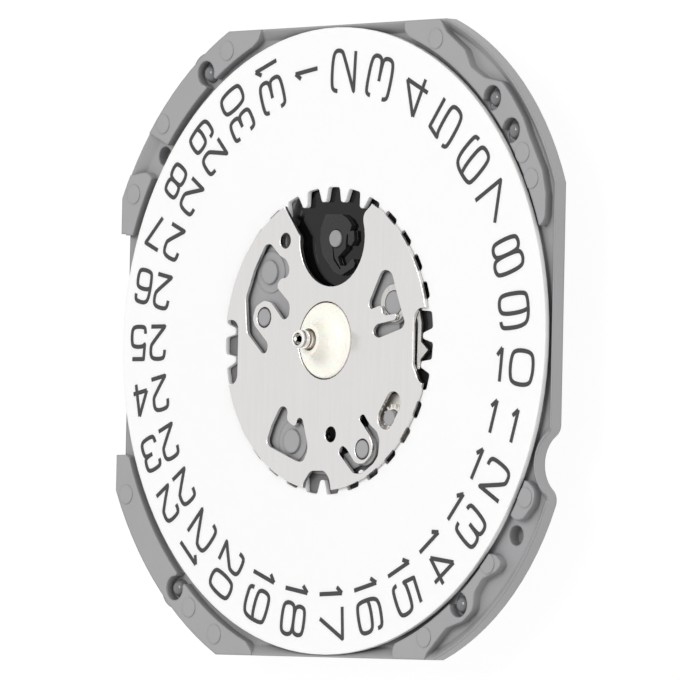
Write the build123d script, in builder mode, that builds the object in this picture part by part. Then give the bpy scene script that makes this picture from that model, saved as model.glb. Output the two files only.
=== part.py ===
# Quartz watch movement with a date ring, seen from its dial side, in millimetres.
# The origin is under the hand axis, on the back face. +Z runs up the hand axis to the dial,
# +X points to 3 o'clock and +Y to 12 o'clock.

from build123d import *
from math import atan2, cos, degrees, hypot, radians, sin, tan
import os

# Driving dimensions of the date ring, the guard and the plate's rim around them
ring_radius = 12.0
ring_thickness = 0.20
ring_teeth = 31
guard_radius = 5.74
guard_thickness = 0.15
hub_hole_radius = 1.50
ring_tip_cover = 0.41       # how far the ring's teeth reach in under the guard
ring_root_gap = 0.15        # how far the gaps between the teeth open outside the guard
ring_tip_radius = guard_radius - ring_tip_cover
ring_root_radius = guard_radius + ring_root_gap
rim_side = 0.30             # from the ring's edge to the flats at 3 and 9 o'clock
rim_end = 0.10              # from the ring's edge to the flats at 12 and 6 o'clock
rim_corner_right = 1.78     # from the ring's edge to the corner arcs on the stem side
rim_corner_left = 1.58      # the same on the battery side
rim_flat_x = ring_radius + rim_side
rim_flat_y = ring_radius + rim_end
rim_radius_right = ring_radius + rim_corner_right
rim_radius_left = ring_radius + rim_corner_left
side_recess_depth = 0.27    # the rim is set back this far at 9 o'clock
side_recess_x = rim_flat_x - side_recess_depth
side_recess_half = 4.35     # half height of that set-back

# Heights of the stack, from the back face up
cover_thickness = 0.15
film_thickness = 0.05
bridge_thickness = 0.32
train_height = 1.23         # from the bridge to the web that carries the hands
web_thickness = 0.20
motion_height = 0.93        # from the web to the seat of the date ring
ring_clearance = 0.02
guard_gap = 0.03            # between the ring's face and the guard
flange_thickness = 0.52
cut_overrun = 1.0           # how far a cut runs past the faces it opens

bridge_bottom = cover_thickness + film_thickness
bridge_top = bridge_bottom + bridge_thickness
web_bottom = bridge_top + train_height
web_top = web_bottom + web_thickness
seat_level = web_top + motion_height
ring_bottom = seat_level + ring_clearance
ring_top = ring_bottom + ring_thickness
guard_bottom = ring_top + guard_gap
guard_top = guard_bottom + guard_thickness

# Hand seats and the axes of the wheels
hour_seat_radius = 0.60
hour_bore_radius = 0.43
hour_pipe_height = 1.01     # the seats of the three hands stand above one another
minute_seat_length = 0.56
second_seat_length = 0.14
hour_pipe_end = ring_top + hour_pipe_height
minute_pipe_end = hour_pipe_end + minute_seat_length
second_arbor_end = minute_pipe_end + second_seat_length
minute_seat_radius = 0.35
cannon_radius = 0.36
second_arbor_radius = 0.10
minute_bore_radius = 0.245
second_seat_radius = 0.09
running_clearance = 0.03    # radial play of every turning piece on its pivot
face_clearance = 0.04       # end play between stacked pieces
mesh_gap = 0.03             # extra distance between the axes of meshing wheels

hands_axis = (0, 0)
date_axis_x = 0.30
date_axis_y = 3.90
date_axis = (date_axis_x, date_axis_y)
battery_radius = 3.40
battery_height = 2.15
stem_drop = 0.20            # from the web down to the stem's axis
stem_level = web_bottom - stem_drop
stem_bore_radius = 0.50

# Tooth shape of the small wheels, as shares of a module or of a tooth's pitch
tip_height_share = 0.85
root_depth_share = 1.10
tip_half_share = 0.10
root_half_share = 0.26

# A rounded corner takes up at most this share of the edges beside it, and is left out where the
# edges run nearly straight on
edge_share = 0.46
straight_share = 0.02


def polar(radius, angle):
    """Point at a radius and an angle in degrees."""
    return radius * cos(radians(angle)), radius * sin(radians(angle))


def between(start, end):
    """Distance between two points in plan."""
    return hypot(end[0] - start[0], end[1] - start[1])


def direction(start, end):
    """Angle in degrees of the line from one point to another."""
    return degrees(atan2(end[1] - start[1], end[0] - start[0]))


def meshed(teeth, turn, heading, next_teeth):
    """Turn of the wheel that meshes with a turned wheel, whose axis lies at a heading."""
    phase = (heading - turn) * teeth / 360
    return heading + 180 - (1 / 2 - phase) * 360 / next_teeth


def placed(share, size):
    """Place from a pair of shares of one size."""
    return size * share[0], size * share[1]


def scaled(shares, size):
    """Outline points from shares of one size."""
    return [placed(share, size) for share in shares]


def stepped(place, step):
    """Place moved by a step in plan."""
    return place[0] + step[0], place[1] + step[1]


def toothed(teeth, pitch_radius, turn=0):
    """Toothed disc about the origin, with its first tooth at the turn angle."""
    module = 2 * pitch_radius / teeth
    tip = pitch_radius + tip_height_share * module
    root = pitch_radius - root_depth_share * module
    step = 360 / teeth
    corners = []
    for tooth in range(teeth):
        for radius, share in (
            (root, -root_half_share),
            (tip, -tip_half_share),
            (tip, tip_half_share),
            (root, root_half_share),
        ):
            corners.append(polar(radius, turn + step * (tooth + share)))
    with BuildSketch() as face:
        with BuildLine():
            Polyline(*corners, close=True)
        make_face()
    return face.sketch


def along(start, end, distance):
    """Place at a distance from one point towards another."""
    share = distance / between(start, end)
    return start[0] + share * (end[0] - start[0]), start[1] + share * (end[1] - start[1])


def window(points, rounding):
    """Closed outline whose corners are rounded as far as their edges allow."""
    arcs = []
    for index, corner in enumerate(points):
        before = points[index - 1]
        after = points[(index + 1) % len(points)]
        opening = radians(direction(corner, after) - direction(corner, before))
        half = abs(atan2(sin(opening), cos(opening))) / 2
        if cos(half) < straight_share:
            continue
        reach = min(
            rounding / tan(half),
            edge_share * between(corner, before),
            edge_share * between(corner, after),
        )
        radius = reach * tan(half)
        start = along(corner, before, reach)
        end = along(corner, after, reach)
        inward = ((start[0] + end[0]) / 2, (start[1] + end[1]) / 2)
        arcs.append((start, along(corner, inward, radius / sin(half) - radius), end))
    with BuildSketch() as face:
        with BuildLine():
            for index, arc in enumerate(arcs):
                Line(arcs[index - 1][2], arc[0])
                ThreePointArc(*arc)
        make_face()
    return face.sketch


def turned_plane(place):
    """Upright plane through a place, for turned profiles given as radius and height."""
    return Plane(origin=(place[0], place[1], 0), x_dir=(1, 0, 0), z_dir=(0, -1, 0))


def upright(place):
    """Vertical axis through a place."""
    return Axis((place[0], place[1], 0), (0, 0, 1))


def outline(points):
    """Closed outline with sharp corners."""
    with BuildSketch() as face:
        with BuildLine():
            Polyline(*points, close=True)
        make_face()
    return face.sketch


def bar(start, end, radius):
    """Straight bar with round ends, from one point to another."""
    with BuildSketch() as face:
        SlotCenterPoint(
            ((start[0] + end[0]) / 2, (start[1] + end[1]) / 2),
            end,
            2 * radius,
        )
    return face.sketch


# Plan of the rim: four flats joined by corner arcs, with a set-back at 9 o'clock and a round
# notch below 3 o'clock
rim_corner_share = 0.7071
notch_share = (1.057, -0.393)
notch_axis = placed(notch_share, ring_radius)
notch_radius = 1.22
notch_rounding = 0.50


def rim_plan(inset):
    """Flats and corner arcs of the rim, moved inwards by an inset."""
    flat_x = rim_flat_x - inset
    flat_y = rim_flat_y - inset
    right = rim_radius_right - inset
    left = rim_radius_left - inset
    right_x = (rim_radius_left**2 - rim_flat_y**2) ** 0.5
    right_y = (rim_radius_left**2 - rim_flat_x**2) ** 0.5
    with BuildSketch() as face:
        with BuildLine():
            Line((flat_x, -right_y), (flat_x, right_y))
            ThreePointArc(
                (flat_x, right_y),
                (right * rim_corner_share, right * rim_corner_share),
                (right_x, flat_y),
            )
            Line((right_x, flat_y), (-right_x, flat_y))
            ThreePointArc(
                (-right_x, flat_y),
                (-left * rim_corner_share, left * rim_corner_share),
                (-flat_x, right_y),
            )
            Line((-flat_x, right_y), (-flat_x, -right_y))
            ThreePointArc(
                (-flat_x, -right_y),
                (-left * rim_corner_share, -left * rim_corner_share),
                (-right_x, -flat_y),
            )
            Line((-right_x, -flat_y), (right_x, -flat_y))
            ThreePointArc(
                (right_x, -flat_y),
                (right * rim_corner_share, -right * rim_corner_share),
                (flat_x, -right_y),
            )
        make_face()
    return face.sketch


def rim_outline(inset):
    """Outline of the rim with its set-back and notch, moved inwards by an inset."""
    with BuildSketch() as face:
        add(rim_plan(inset))
        with Locations((inset - side_recess_x - cut_overrun, 0)):
            Rectangle(2 * cut_overrun, 2 * (side_recess_half + inset), mode=Mode.SUBTRACT)
        with Locations(notch_axis):
            Circle(notch_radius + inset, mode=Mode.SUBTRACT)
        near_notch = [
            corner
            for corner in face.vertices()
            if between(notch_axis, (corner.X, corner.Y)) < 2 * notch_radius
        ]
        fillet(near_notch, notch_rounding)
    return face.sketch


# Wheel train: tooth counts, pitch radii and axes
motion_module = 0.10
hour_module = 0.096
train_module = 0.08
slow_module = 0.054
cannon_teeth = 12
minute_teeth = 36
minute_pinion_teeth = 10
hour_teeth = 40
hour_date_teeth = 20
date_teeth = 40
setting_teeth = 20
second_teeth = 40
pinion_teeth = 8
third_teeth = 60
center_teeth = 64
fifth_teeth = 36
rotor_teeth = 6

cannon_pitch = cannon_teeth * motion_module / 2
minute_pitch = minute_teeth * motion_module / 2
minute_pinion_pitch = minute_pinion_teeth * hour_module / 2
hour_pitch = hour_teeth * hour_module / 2
date_distance = between(hands_axis, date_axis) - mesh_gap
hour_date_pitch = date_distance * hour_date_teeth / (hour_date_teeth + date_teeth)
date_pitch = date_distance * date_teeth / (hour_date_teeth + date_teeth)
setting_pitch = setting_teeth * motion_module / 2
second_pitch = second_teeth * train_module / 2
pinion_pitch = pinion_teeth * train_module / 2
slow_pinion_pitch = pinion_teeth * slow_module / 2
third_pitch = third_teeth * slow_module / 2
third_distance = third_pitch + slow_pinion_pitch + mesh_gap
center_pitch = (third_distance - mesh_gap) * center_teeth / (center_teeth + pinion_teeth)
third_pinion_pitch = (third_distance - mesh_gap) * pinion_teeth / (center_teeth + pinion_teeth)
fifth_pitch = fifth_teeth * train_module / 2
rotor_pitch = rotor_teeth * train_module / 2
minute_angle = -80.07
setting_angle = 26.29
third_angle = 150
fifth_angle = -50
rotor_angle = -40
minute_axis = polar(cannon_pitch + minute_pitch + mesh_gap, minute_angle)
setting_step = polar(minute_pitch + setting_pitch + mesh_gap, setting_angle)
setting_axis = stepped(minute_axis, setting_step)
third_axis = polar(third_distance, third_angle)
fifth_axis = polar(second_pitch + pinion_pitch + mesh_gap, fifth_angle)
rotor_axis = stepped(fifth_axis, polar(fifth_pitch + rotor_pitch + mesh_gap, rotor_angle))

# Turns that bring the teeth of meshing wheels into each other's gaps
minute_turn = meshed(cannon_teeth, 0, direction(hands_axis, minute_axis), minute_teeth)
hour_turn = meshed(minute_pinion_teeth, 0, direction(minute_axis, hands_axis), hour_teeth)
date_turn = meshed(hour_date_teeth, 0, direction(hands_axis, date_axis), date_teeth)
setting_turn = meshed(minute_teeth, minute_turn, direction(minute_axis, setting_axis), setting_teeth)
third_turn = meshed(pinion_teeth, 0, third_angle, third_teeth)
center_turn = meshed(pinion_teeth, 0, direction(third_axis, hands_axis), center_teeth)
fifth_turn = meshed(second_teeth, 0, fifth_angle, pinion_teeth)
rotor_turn = meshed(fifth_teeth, 0, rotor_angle, rotor_teeth)

# Heights of the wheels in the train, from the bridge up
thin_wheel = 0.10
fifth_wheel_lift = 0.08
second_wheel_step = 0.20
third_wheel_step = 0.28
center_wheel_drop = 0.27
fifth_wheel_bottom = bridge_top + fifth_wheel_lift
second_wheel_bottom = fifth_wheel_bottom + second_wheel_step
third_wheel_bottom = second_wheel_bottom + third_wheel_step
center_wheel_bottom = web_bottom - center_wheel_drop
pivot_radius = 0.08
pivot_length = 0.16
arbor_radius = 0.11
stator_drop = 0.68
stator_bottom = web_bottom - stator_drop
stator_thickness = 0.30
magnet_radius = 0.72
magnet_height = 0.46
stator_hole_radius = 0.84
core_thickness = 0.30

# Heights of the motion work, from the web up
wheel_lift = 0.06
cannon_gear_height = 0.33
minute_wheel_thickness = 0.16
hour_gear_lift = 0.45
hour_gear_bottom = web_top + hour_gear_lift
hour_gear_thickness = 0.16
date_gear_step = 0.22
date_gear_bottom = hour_gear_bottom + date_gear_step
date_gear_thickness = 0.20
date_hub_depth = 0.12
date_floor = date_gear_bottom - date_hub_depth

# Main plate: grey moulded plastic, with a shallow dished rim, raised pads, cavities for the
# motion work on the dial side and pockets for train, coil, battery and keyless work at the back.
flange_drop = 0.10
flange_top = ring_top - flange_drop
flange_bottom = flange_top - flange_thickness
lip_width = 0.06
dish_depth = 0.33
dish_slope = 48
dish_floor = flange_top - dish_depth
pad_drop = 0.06
pad_top = ring_top - pad_drop
pad_clearance_right = 0.20  # between the ring's edge and the pads
pad_clearance_left = 0.40
pad_inner_right = ring_radius + pad_clearance_right
pad_inner_left = ring_radius + pad_clearance_left
pad_rounding = 0.50
seat_inset = 0.15
seat_radius = ring_radius - seat_inset
body_step = 0.70
body_radius = ring_radius - body_step
body_flat_depth = 0.70
body_flat_x = body_radius - body_flat_depth
step_level = 1.00
lower_step = 0.40
lower_radius = body_radius - lower_step
lower_flat_depth = 1.40
lower_flat_x = body_flat_x - lower_flat_depth
plate_floor = bridge_top
rim_wall = 0.80
notch_body_radius = 2.90
notch_lower_radius = 3.98
pit_radius = 0.48
pit_depth = 0.42
pit_wall = 0.30
pit_mouth_radius = 0.30     # each pit opens towards the ring through a mouth of this radius
foot_share = (0.850, -0.615)
foot_axis = placed(foot_share, ring_radius)
foot_radius = 0.38
foot_boss_radius = 0.58
foot_boss_height = 0.45
foot_wall = 0.15
foot_bottom = flange_bottom - foot_boss_height
mark_radius = 0.38
mark_height = 0.03
land_clearance = 0.21
land_radius = ring_tip_radius - land_clearance
land_drop = 0.12
land_top = ring_top - land_drop
stud_radius = 0.20
date_post_radius = 0.33
date_post_depth = 0.30
train_wall = 0.18

right_upper_pad_shares = (
    (0.780, 0.302), (0.866, 0.302), (0.868, 0.392), (0.852, 0.458), (0.798, 0.552), (0.772, 0.604),
    (0.726, 0.664), (0.686, 0.706), (0.614, 0.720), (0.558, 0.752), (0.532, 0.802), (0.456, 0.854),
    (0.420, 0.905), (0.290, 0.905), (0.282, 0.866), (0.420, 0.740), (0.620, 0.580),
)
right_middle_pad_shares = (
    (0.770, -0.398), (0.812, -0.390), (0.850, -0.420), (0.842, -0.460), (0.800, -0.502), (0.760, -0.500),
    (0.735, -0.440),
)
right_lower_pad_shares = (
    (0.640, -0.590), (0.700, -0.598), (0.722, -0.622), (0.700, -0.644), (0.645, -0.664), (0.614, -0.704),
    (0.610, -0.752), (0.570, -0.782), (0.504, -0.802), (0.428, -0.872), (0.410, -0.905), (0.292, -0.905),
    (0.284, -0.860), (0.420, -0.740),
)
left_upper_pad_shares = (
    (-0.305, 0.905), (-0.330, 0.858), (-0.500, 0.740), (-0.680, 0.560), (-0.750, 0.590),
    (-0.860, 0.640), (-0.700, 0.860), (-0.480, 0.985), (-0.305, 0.985),
)
left_middle_pad_shares = (
    (-0.860, 0.316), (-0.780, 0.316), (-0.770, 0.470), (-0.796, 0.498), (-0.870, 0.490), (-0.940, 0.500),
    (-1.000, 0.400), (-1.000, 0.316),
)
left_lower_pad_shares = (
    (-0.860, -0.320), (-1.000, -0.320), (-1.000, -0.520), (-0.860, -0.800), (-0.560, -0.985),
    (-0.305, -0.985), (-0.302, -0.880), (-0.330, -0.850), (-0.600, -0.640), (-0.780, -0.400),
)
pad_size = rim_radius_left
pads = (
    (right_upper_pad_shares, pad_inner_right),
    (right_middle_pad_shares, pad_inner_right),
    (right_lower_pad_shares, pad_inner_right),
    (left_upper_pad_shares, pad_inner_left),
    (left_middle_pad_shares, pad_inner_left),
    (left_lower_pad_shares, pad_inner_left),
)
pit_shares = ((0.733, 0.750), (0.821, 0.646), (0.625, -0.833), (-0.6225, 0.8767), (-0.723, -0.796))
mark_shares = (
    (0.471, 0.946), (0.917, 0.493), (0.875, 0.575), (0.471, -0.9375), (-0.521, 0.946), (-0.829, 0.718),
    (-0.968, 0.492), (-0.523, -0.943), (-0.650, -0.858), (-0.973, -0.492), (0.917, -0.498), (0.754, -0.704),
)
pit_places = scaled(pit_shares, ring_radius)
mark_places = scaled(mark_shares, ring_radius)
pin_shares = ((-0.610, 0.162), (0.390, -0.725))
pin_places = scaled(pin_shares, guard_radius)
pin_radius = 0.34
pin_collar_radius = 0.62
post_shares = ((-0.601, 0.467), (0.639, 0.240), (-0.345, -0.669))
post_places = scaled(post_shares, guard_radius)
post_radius = 0.46
post_gap = 0.02
post_top = guard_bottom - post_gap
post_foot_radius = 0.80
jumper_pocket_width = 2.48
jumper_pocket_length = 4.96
corrector_share = (0.648, -0.519)
corrector_axis = placed(corrector_share, guard_radius)
corrector_stud_radius = 0.30
corrector_disc_radius = 1.00
corrector_floor_depth = 0.10
corrector_floor = seat_level - corrector_floor_depth
setting_stud_drop = 0.05
setting_stud_top = date_gear_bottom - setting_stud_drop
hub_wall = 0.144
hub_land_radius = hour_pitch + hour_module + hub_wall
motion_wall = 0.12
lever_share = (0.799, 0.266)
yoke_share = (0.750, -0.277)
stop_share = (0.565, 0.277)
stop_bend_share = (0.489, 0.109)
stop_tip_share = (0.304, -0.076)
lever_axis = placed(lever_share, lower_flat_x)
yoke_axis = placed(yoke_share, lower_flat_x)
stop_axis = placed(stop_share, lower_flat_x)
stop_bend = placed(stop_bend_share, lower_flat_x)
stop_tip = placed(stop_tip_share, lower_flat_x)
stop_channel_depth = 0.38
keyless_half = 3.68
lever_stud_radius = 0.30
clutch_radius = 0.62
clutch_start = 4.20
clutch_length = 1.45
coil_share = (0.422, -0.642)
coil_axis = placed(coil_share, lower_radius)
coil_turn = 22
coil_half = 3.45
winding_half = 1.95
winding_radius = 0.66
bobbin_radius = 0.70
arm_half = 0.60
stator_rim = 0.66
core_end_radius = 0.62
core_half_width = 0.34
core_bottom = stator_bottom - core_thickness
core_level = core_bottom + core_thickness / 2
pocket_clearance = 0.15
coil_step = polar(coil_half, coil_turn)
coil_right = stepped(coil_axis, coil_step)
coil_left = (coil_axis[0] - coil_step[0], coil_axis[1] - coil_step[1])
crystal_share = (0.358, 0.661)
crystal_axis = placed(crystal_share, lower_radius)
crystal_turn = -24
crystal_radius = 0.75
crystal_length = 4.60
chip_share = (-0.312, 0.642)
chip_axis = placed(chip_share, lower_radius)
chip_size = 2.20
chip_height = 0.55
board_thickness = 0.18
board_bottom = plate_floor - board_thickness
screw_head_radius = 0.55
screw_shank_radius = 0.26
screw_hole_depth = 1.10
screw_end_gap = 0.10
coil_screw_depth = 0.80
contact_share = (-0.569, 0.046)
contact_axis = placed(contact_share, lower_radius)
contact_half = 0.35
bridge_screw_shares = ((-0.436, 0.330), (0.289, 0.252), (-0.037, -0.344))
cover_screw_shares = ((-0.826, 0.376), (0.661, 0.578), (0, -0.881))
keyless_screw_shares = ((0.826, 0.473),)
bridge_screw_places = scaled(bridge_screw_shares, lower_radius)
cover_screw_places = scaled(cover_screw_shares, lower_radius)
keyless_screw_places = scaled(keyless_screw_shares, lower_flat_x)
battery_share = (-0.4495, -0.468)
battery_axis = placed(battery_share, lower_radius)
battery_wall = 0.10
battery_lift = 0.03
battery_bottom = cover_thickness + battery_lift
battery_top = battery_bottom + battery_height
well_clearance = 0.14
well_top = battery_top + well_clearance

with BuildPart() as rim_dish:
    with BuildSketch(Plane.XY.offset(flange_top)):
        add(rim_plan(lip_width))
    extrude(amount=-dish_depth, taper=dish_slope)
    with BuildSketch(turned_plane(notch_axis)):
        add(
            outline(
                (
                    (0, dish_floor),
                    (notch_radius + lip_width + dish_depth, dish_floor),
                    (notch_radius + lip_width, flange_top),
                    (0, flange_top),
                )
            )
        )
    revolve(axis=upright(notch_axis), mode=Mode.SUBTRACT)

with BuildPart() as main_plate:
    with BuildSketch(Plane.XY.offset(flange_bottom)):
        add(rim_outline(0))
        with Locations(*pit_places[3:]):
            Circle(pit_radius + pit_wall)
    extrude(amount=flange_top - flange_bottom)
    add(rim_dish.part, mode=Mode.SUBTRACT)
    with BuildSketch(Plane.XY.offset(flange_bottom)):
        Circle(seat_radius)
    extrude(amount=seat_level - flange_bottom)
    with BuildSketch(Plane.XY.offset(step_level)):
        Circle(body_radius)
        Rectangle(2 * body_flat_x, 4 * body_radius, mode=Mode.INTERSECT)
    extrude(amount=flange_bottom - step_level)
    with BuildSketch(Plane.XY.offset(cover_thickness)):
        Circle(lower_radius)
        Rectangle(2 * lower_flat_x, 4 * lower_radius, mode=Mode.INTERSECT)
    extrude(amount=step_level - cover_thickness)
    with BuildSketch(Plane.XY.offset(seat_level)):
        Circle(land_radius)
    extrude(amount=land_top - seat_level)

    # Pads on the rim, with the pits and marks that show on them
    for shares, inner_radius in pads:
        with BuildSketch(Plane.XY.offset(dish_floor)):
            add(window(scaled(shares, pad_size), pad_rounding))
            add(rim_outline(0), mode=Mode.INTERSECT)
            Circle(inner_radius, mode=Mode.SUBTRACT)
        extrude(amount=pad_top - dish_floor)
    with BuildSketch(Plane.XY.offset(pad_top)):
        with Locations(*mark_places):
            Circle(mark_radius)
        Circle(pad_inner_right, mode=Mode.SUBTRACT)
        add(rim_outline(lip_width), mode=Mode.INTERSECT)
    extrude(amount=mark_height)
    with BuildSketch(Plane.XY.offset(pad_top - pit_depth)):
        with Locations(*pit_places):
            Circle(pit_radius)
        for place in pit_places:
            mouth = (ring_radius + pit_mouth_radius) / between(hands_axis, place)
            add(bar(place, placed(place, mouth), pit_mouth_radius))
    extrude(amount=pit_depth + cut_overrun, mode=Mode.SUBTRACT)

    # Blind bores for the dial feet, in bosses under the rim
    with BuildSketch(Plane.XY.offset(foot_bottom)):
        with Locations(foot_axis, placed(foot_axis, -1)):
            Circle(foot_boss_radius)
    extrude(amount=foot_boss_height)
    with BuildSketch(Plane.XY.offset(foot_bottom + foot_wall)):
        with Locations(foot_axis, placed(foot_axis, -1)):
            Circle(foot_radius)
    extrude(amount=guard_top - foot_bottom, mode=Mode.SUBTRACT)

    # The notch below 3 o'clock widens towards the back
    with BuildSketch(Plane.XY.offset(step_level - cut_overrun)):
        with Locations(notch_axis):
            Circle(notch_body_radius)
    extrude(amount=flange_bottom - step_level + cut_overrun, mode=Mode.SUBTRACT)
    with BuildSketch(Plane.XY.offset(cover_thickness - cut_overrun)):
        with Locations(notch_axis):
            Circle(notch_lower_radius)
    extrude(amount=step_level - cover_thickness + cut_overrun, mode=Mode.SUBTRACT)

    # Dial side cavities for the motion work and the date wheel
    with BuildSketch(Plane.XY.offset(web_top)):
        Circle(hub_land_radius)
        with Locations(minute_axis):
            Circle(minute_pitch + motion_module + motion_wall)
        with Locations(setting_axis):
            Circle(setting_pitch + motion_module + motion_wall)
    extrude(amount=guard_top - web_top, mode=Mode.SUBTRACT)
    with BuildSketch(Plane.XY.offset(date_floor)):
        with Locations(date_axis):
            Circle(date_pitch + hour_module + 2 * motion_wall)
    extrude(amount=guard_top - date_floor, mode=Mode.SUBTRACT)
    with BuildSketch(Plane.XY.offset(seat_level)):
        with Locations((land_radius, 0)):
            Rectangle(jumper_pocket_width, jumper_pocket_length)
    extrude(amount=guard_top - seat_level, mode=Mode.SUBTRACT)
    with BuildSketch(Plane.XY.offset(corrector_floor)):
        with Locations(corrector_axis):
            Circle(corrector_disc_radius + face_clearance)
    extrude(amount=guard_top - corrector_floor, mode=Mode.SUBTRACT)

    # Studs and posts that stand on the dial side
    with BuildSketch(Plane.XY.offset(web_bottom)):
        with Locations(minute_axis, setting_axis):
            Circle(stud_radius)
    extrude(amount=setting_stud_top - web_bottom)
    with BuildSketch(Plane.XY.offset(seat_level - ring_thickness)):
        with Locations(corrector_axis):
            Circle(corrector_stud_radius)
    extrude(amount=guard_top - seat_level + ring_thickness)
    with BuildSketch(Plane.XY.offset(seat_level)):
        with Locations(*pin_places):
            Circle(pin_collar_radius)
    extrude(amount=guard_bottom - seat_level)
    with BuildSketch(Plane.XY.offset(seat_level)):
        with Locations(*pin_places):
            Circle(pin_radius)
    extrude(amount=guard_top - seat_level)
    with BuildSketch(Plane.XY.offset(seat_level)):
        with Locations(*post_places):
            Circle(post_foot_radius)
        with Locations(date_axis):
            Circle(date_pitch + hour_module + 2 * motion_wall, mode=Mode.SUBTRACT)
        with Locations(minute_axis):
            Circle(minute_pitch + motion_module + motion_wall, mode=Mode.SUBTRACT)
    extrude(amount=land_top + mark_height - seat_level)
    with BuildSketch(Plane.XY.offset(seat_level)):
        with Locations(*post_places):
            Circle(post_radius)
    extrude(amount=post_top - seat_level)

    # Back pockets: train, rotor, coil, battery, crystal, chip and keyless work
    with BuildSketch(Plane.XY.offset(cover_thickness)):
        Circle(lower_radius - rim_wall)
        Rectangle(2 * (lower_flat_x - rim_wall), 4 * lower_radius, mode=Mode.INTERSECT)
        with Locations(notch_axis):
            Circle(notch_lower_radius + rim_wall, mode=Mode.SUBTRACT)
        with Locations(*cover_screw_places):
            Circle(screw_head_radius + train_wall, mode=Mode.SUBTRACT)
    extrude(amount=plate_floor - cover_thickness, mode=Mode.SUBTRACT)
    with BuildSketch(Plane.XY.offset(plate_floor)):
        Circle(center_pitch + train_module + train_wall)
        with Locations(third_axis):
            Circle(third_pitch + train_module + train_wall)
        with Locations(fifth_axis):
            Circle(fifth_pitch + train_module + train_wall)
        with Locations(rotor_axis):
            Circle(stator_hole_radius + stator_rim + pocket_clearance)
        add(bar(rotor_axis, coil_left, arm_half + pocket_clearance))
        add(bar(rotor_axis, coil_right, arm_half + pocket_clearance))
        add(bar(coil_left, coil_right, bobbin_radius + pocket_clearance))
    extrude(amount=web_bottom - plate_floor, mode=Mode.SUBTRACT)
    with BuildSketch(Plane.XY.offset(plate_floor)):
        add(bar(stop_bend, stop_tip, 2 * lever_stud_radius))
    extrude(amount=stop_channel_depth, mode=Mode.SUBTRACT)
    with BuildSketch(Plane.XY.offset(cover_thickness)):
        with Locations(battery_axis):
            Circle(battery_radius + battery_wall)
    extrude(amount=well_top - cover_thickness, mode=Mode.SUBTRACT)
    with BuildSketch(Plane.XY.offset(plate_floor)):
        add(bar(battery_axis, contact_axis, contact_half + battery_wall))
    extrude(amount=well_top - plate_floor, mode=Mode.SUBTRACT)
    with BuildSketch(Plane.XY.offset(plate_floor)):
        with Locations(Location((crystal_axis[0], crystal_axis[1], 0), (0, 0, crystal_turn))):
            Rectangle(crystal_length + 2 * pocket_clearance, 2 * (crystal_radius + pocket_clearance))
    extrude(amount=2 * (crystal_radius + pocket_clearance), mode=Mode.SUBTRACT)
    with BuildSketch(Plane.XY.offset(plate_floor)):
        with Locations(chip_axis):
            Rectangle(chip_size + 2 * pocket_clearance, chip_size + 2 * pocket_clearance)
    extrude(amount=chip_height + pocket_clearance, mode=Mode.SUBTRACT)
    with BuildSketch(Plane.XY.offset(plate_floor)):
        with Locations(((clutch_start + lower_flat_x - rim_wall) / 2, 0)):
            Rectangle(lower_flat_x - rim_wall - clutch_start + 2 * pocket_clearance, 2 * keyless_half)
        with Locations(bridge_screw_places[1]):
            Circle(screw_head_radius, mode=Mode.SUBTRACT)
        with Locations(notch_axis):
            Circle(notch_lower_radius + rim_wall, mode=Mode.SUBTRACT)
    extrude(amount=web_bottom - plate_floor, mode=Mode.SUBTRACT)
    with BuildSketch(Plane.XY.offset(stem_level - clutch_radius - pocket_clearance)):
        with Locations((clutch_start, 0)):
            Rectangle(2 * (clutch_length + pocket_clearance), 2 * (clutch_radius + pocket_clearance))
        Circle(setting_axis[0] + setting_pitch / 2, mode=Mode.SUBTRACT)
    extrude(amount=2 * (clutch_radius + pocket_clearance), mode=Mode.SUBTRACT)
    with BuildSketch(Plane.YZ.offset(lower_flat_x - 2 * rim_wall)):
        with Locations((0, stem_level)):
            Circle(stem_bore_radius)
    extrude(amount=body_flat_x - lower_flat_x + 3 * rim_wall, mode=Mode.SUBTRACT)

    # Studs for the levers, standing down from the web, and the holes for pivots and screws
    with BuildSketch(Plane.XY.offset(plate_floor + face_clearance)):
        with Locations(lever_axis, yoke_axis, stop_axis):
            Circle(lever_stud_radius)
    extrude(amount=web_bottom - plate_floor)
    with BuildSketch(Plane.XY.offset(stator_bottom + stator_thickness)):
        with Locations(coil_left, coil_right):
            Circle(core_end_radius)
    extrude(amount=web_bottom - stator_bottom - stator_thickness)
    with BuildSketch(Plane.XY.offset(web_bottom)):
        Circle(cannon_radius + 2 * train_wall)
    extrude(amount=web_thickness, mode=Mode.SUBTRACT)
    with BuildSketch(Plane.XY.offset(web_bottom)):
        with Locations(third_axis, fifth_axis, rotor_axis):
            Circle(pivot_radius + running_clearance)
    extrude(amount=web_thickness, mode=Mode.SUBTRACT)
    with BuildSketch(Plane.XY.offset(plate_floor)):
        with Locations(*bridge_screw_places, *keyless_screw_places):
            Circle(screw_shank_radius)
    extrude(amount=screw_hole_depth, mode=Mode.SUBTRACT)
    with BuildSketch(Plane.XY.offset(stator_bottom + stator_thickness)):
        with Locations(coil_left, coil_right):
            Circle(screw_shank_radius)
    extrude(amount=coil_screw_depth, mode=Mode.SUBTRACT)
    with BuildSketch(Plane.XY.offset(date_floor)):
        with Locations(date_axis):
            Circle(date_post_radius)
    extrude(amount=-date_post_depth, mode=Mode.SUBTRACT)
    with BuildSketch(Plane.XY.offset(cover_thickness - cut_overrun)):
        with Locations(*cover_screw_places):
            Circle(screw_shank_radius)
    extrude(amount=screw_hole_depth + cut_overrun, mode=Mode.SUBTRACT)

main_plate.part.label = "main_plate"


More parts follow.
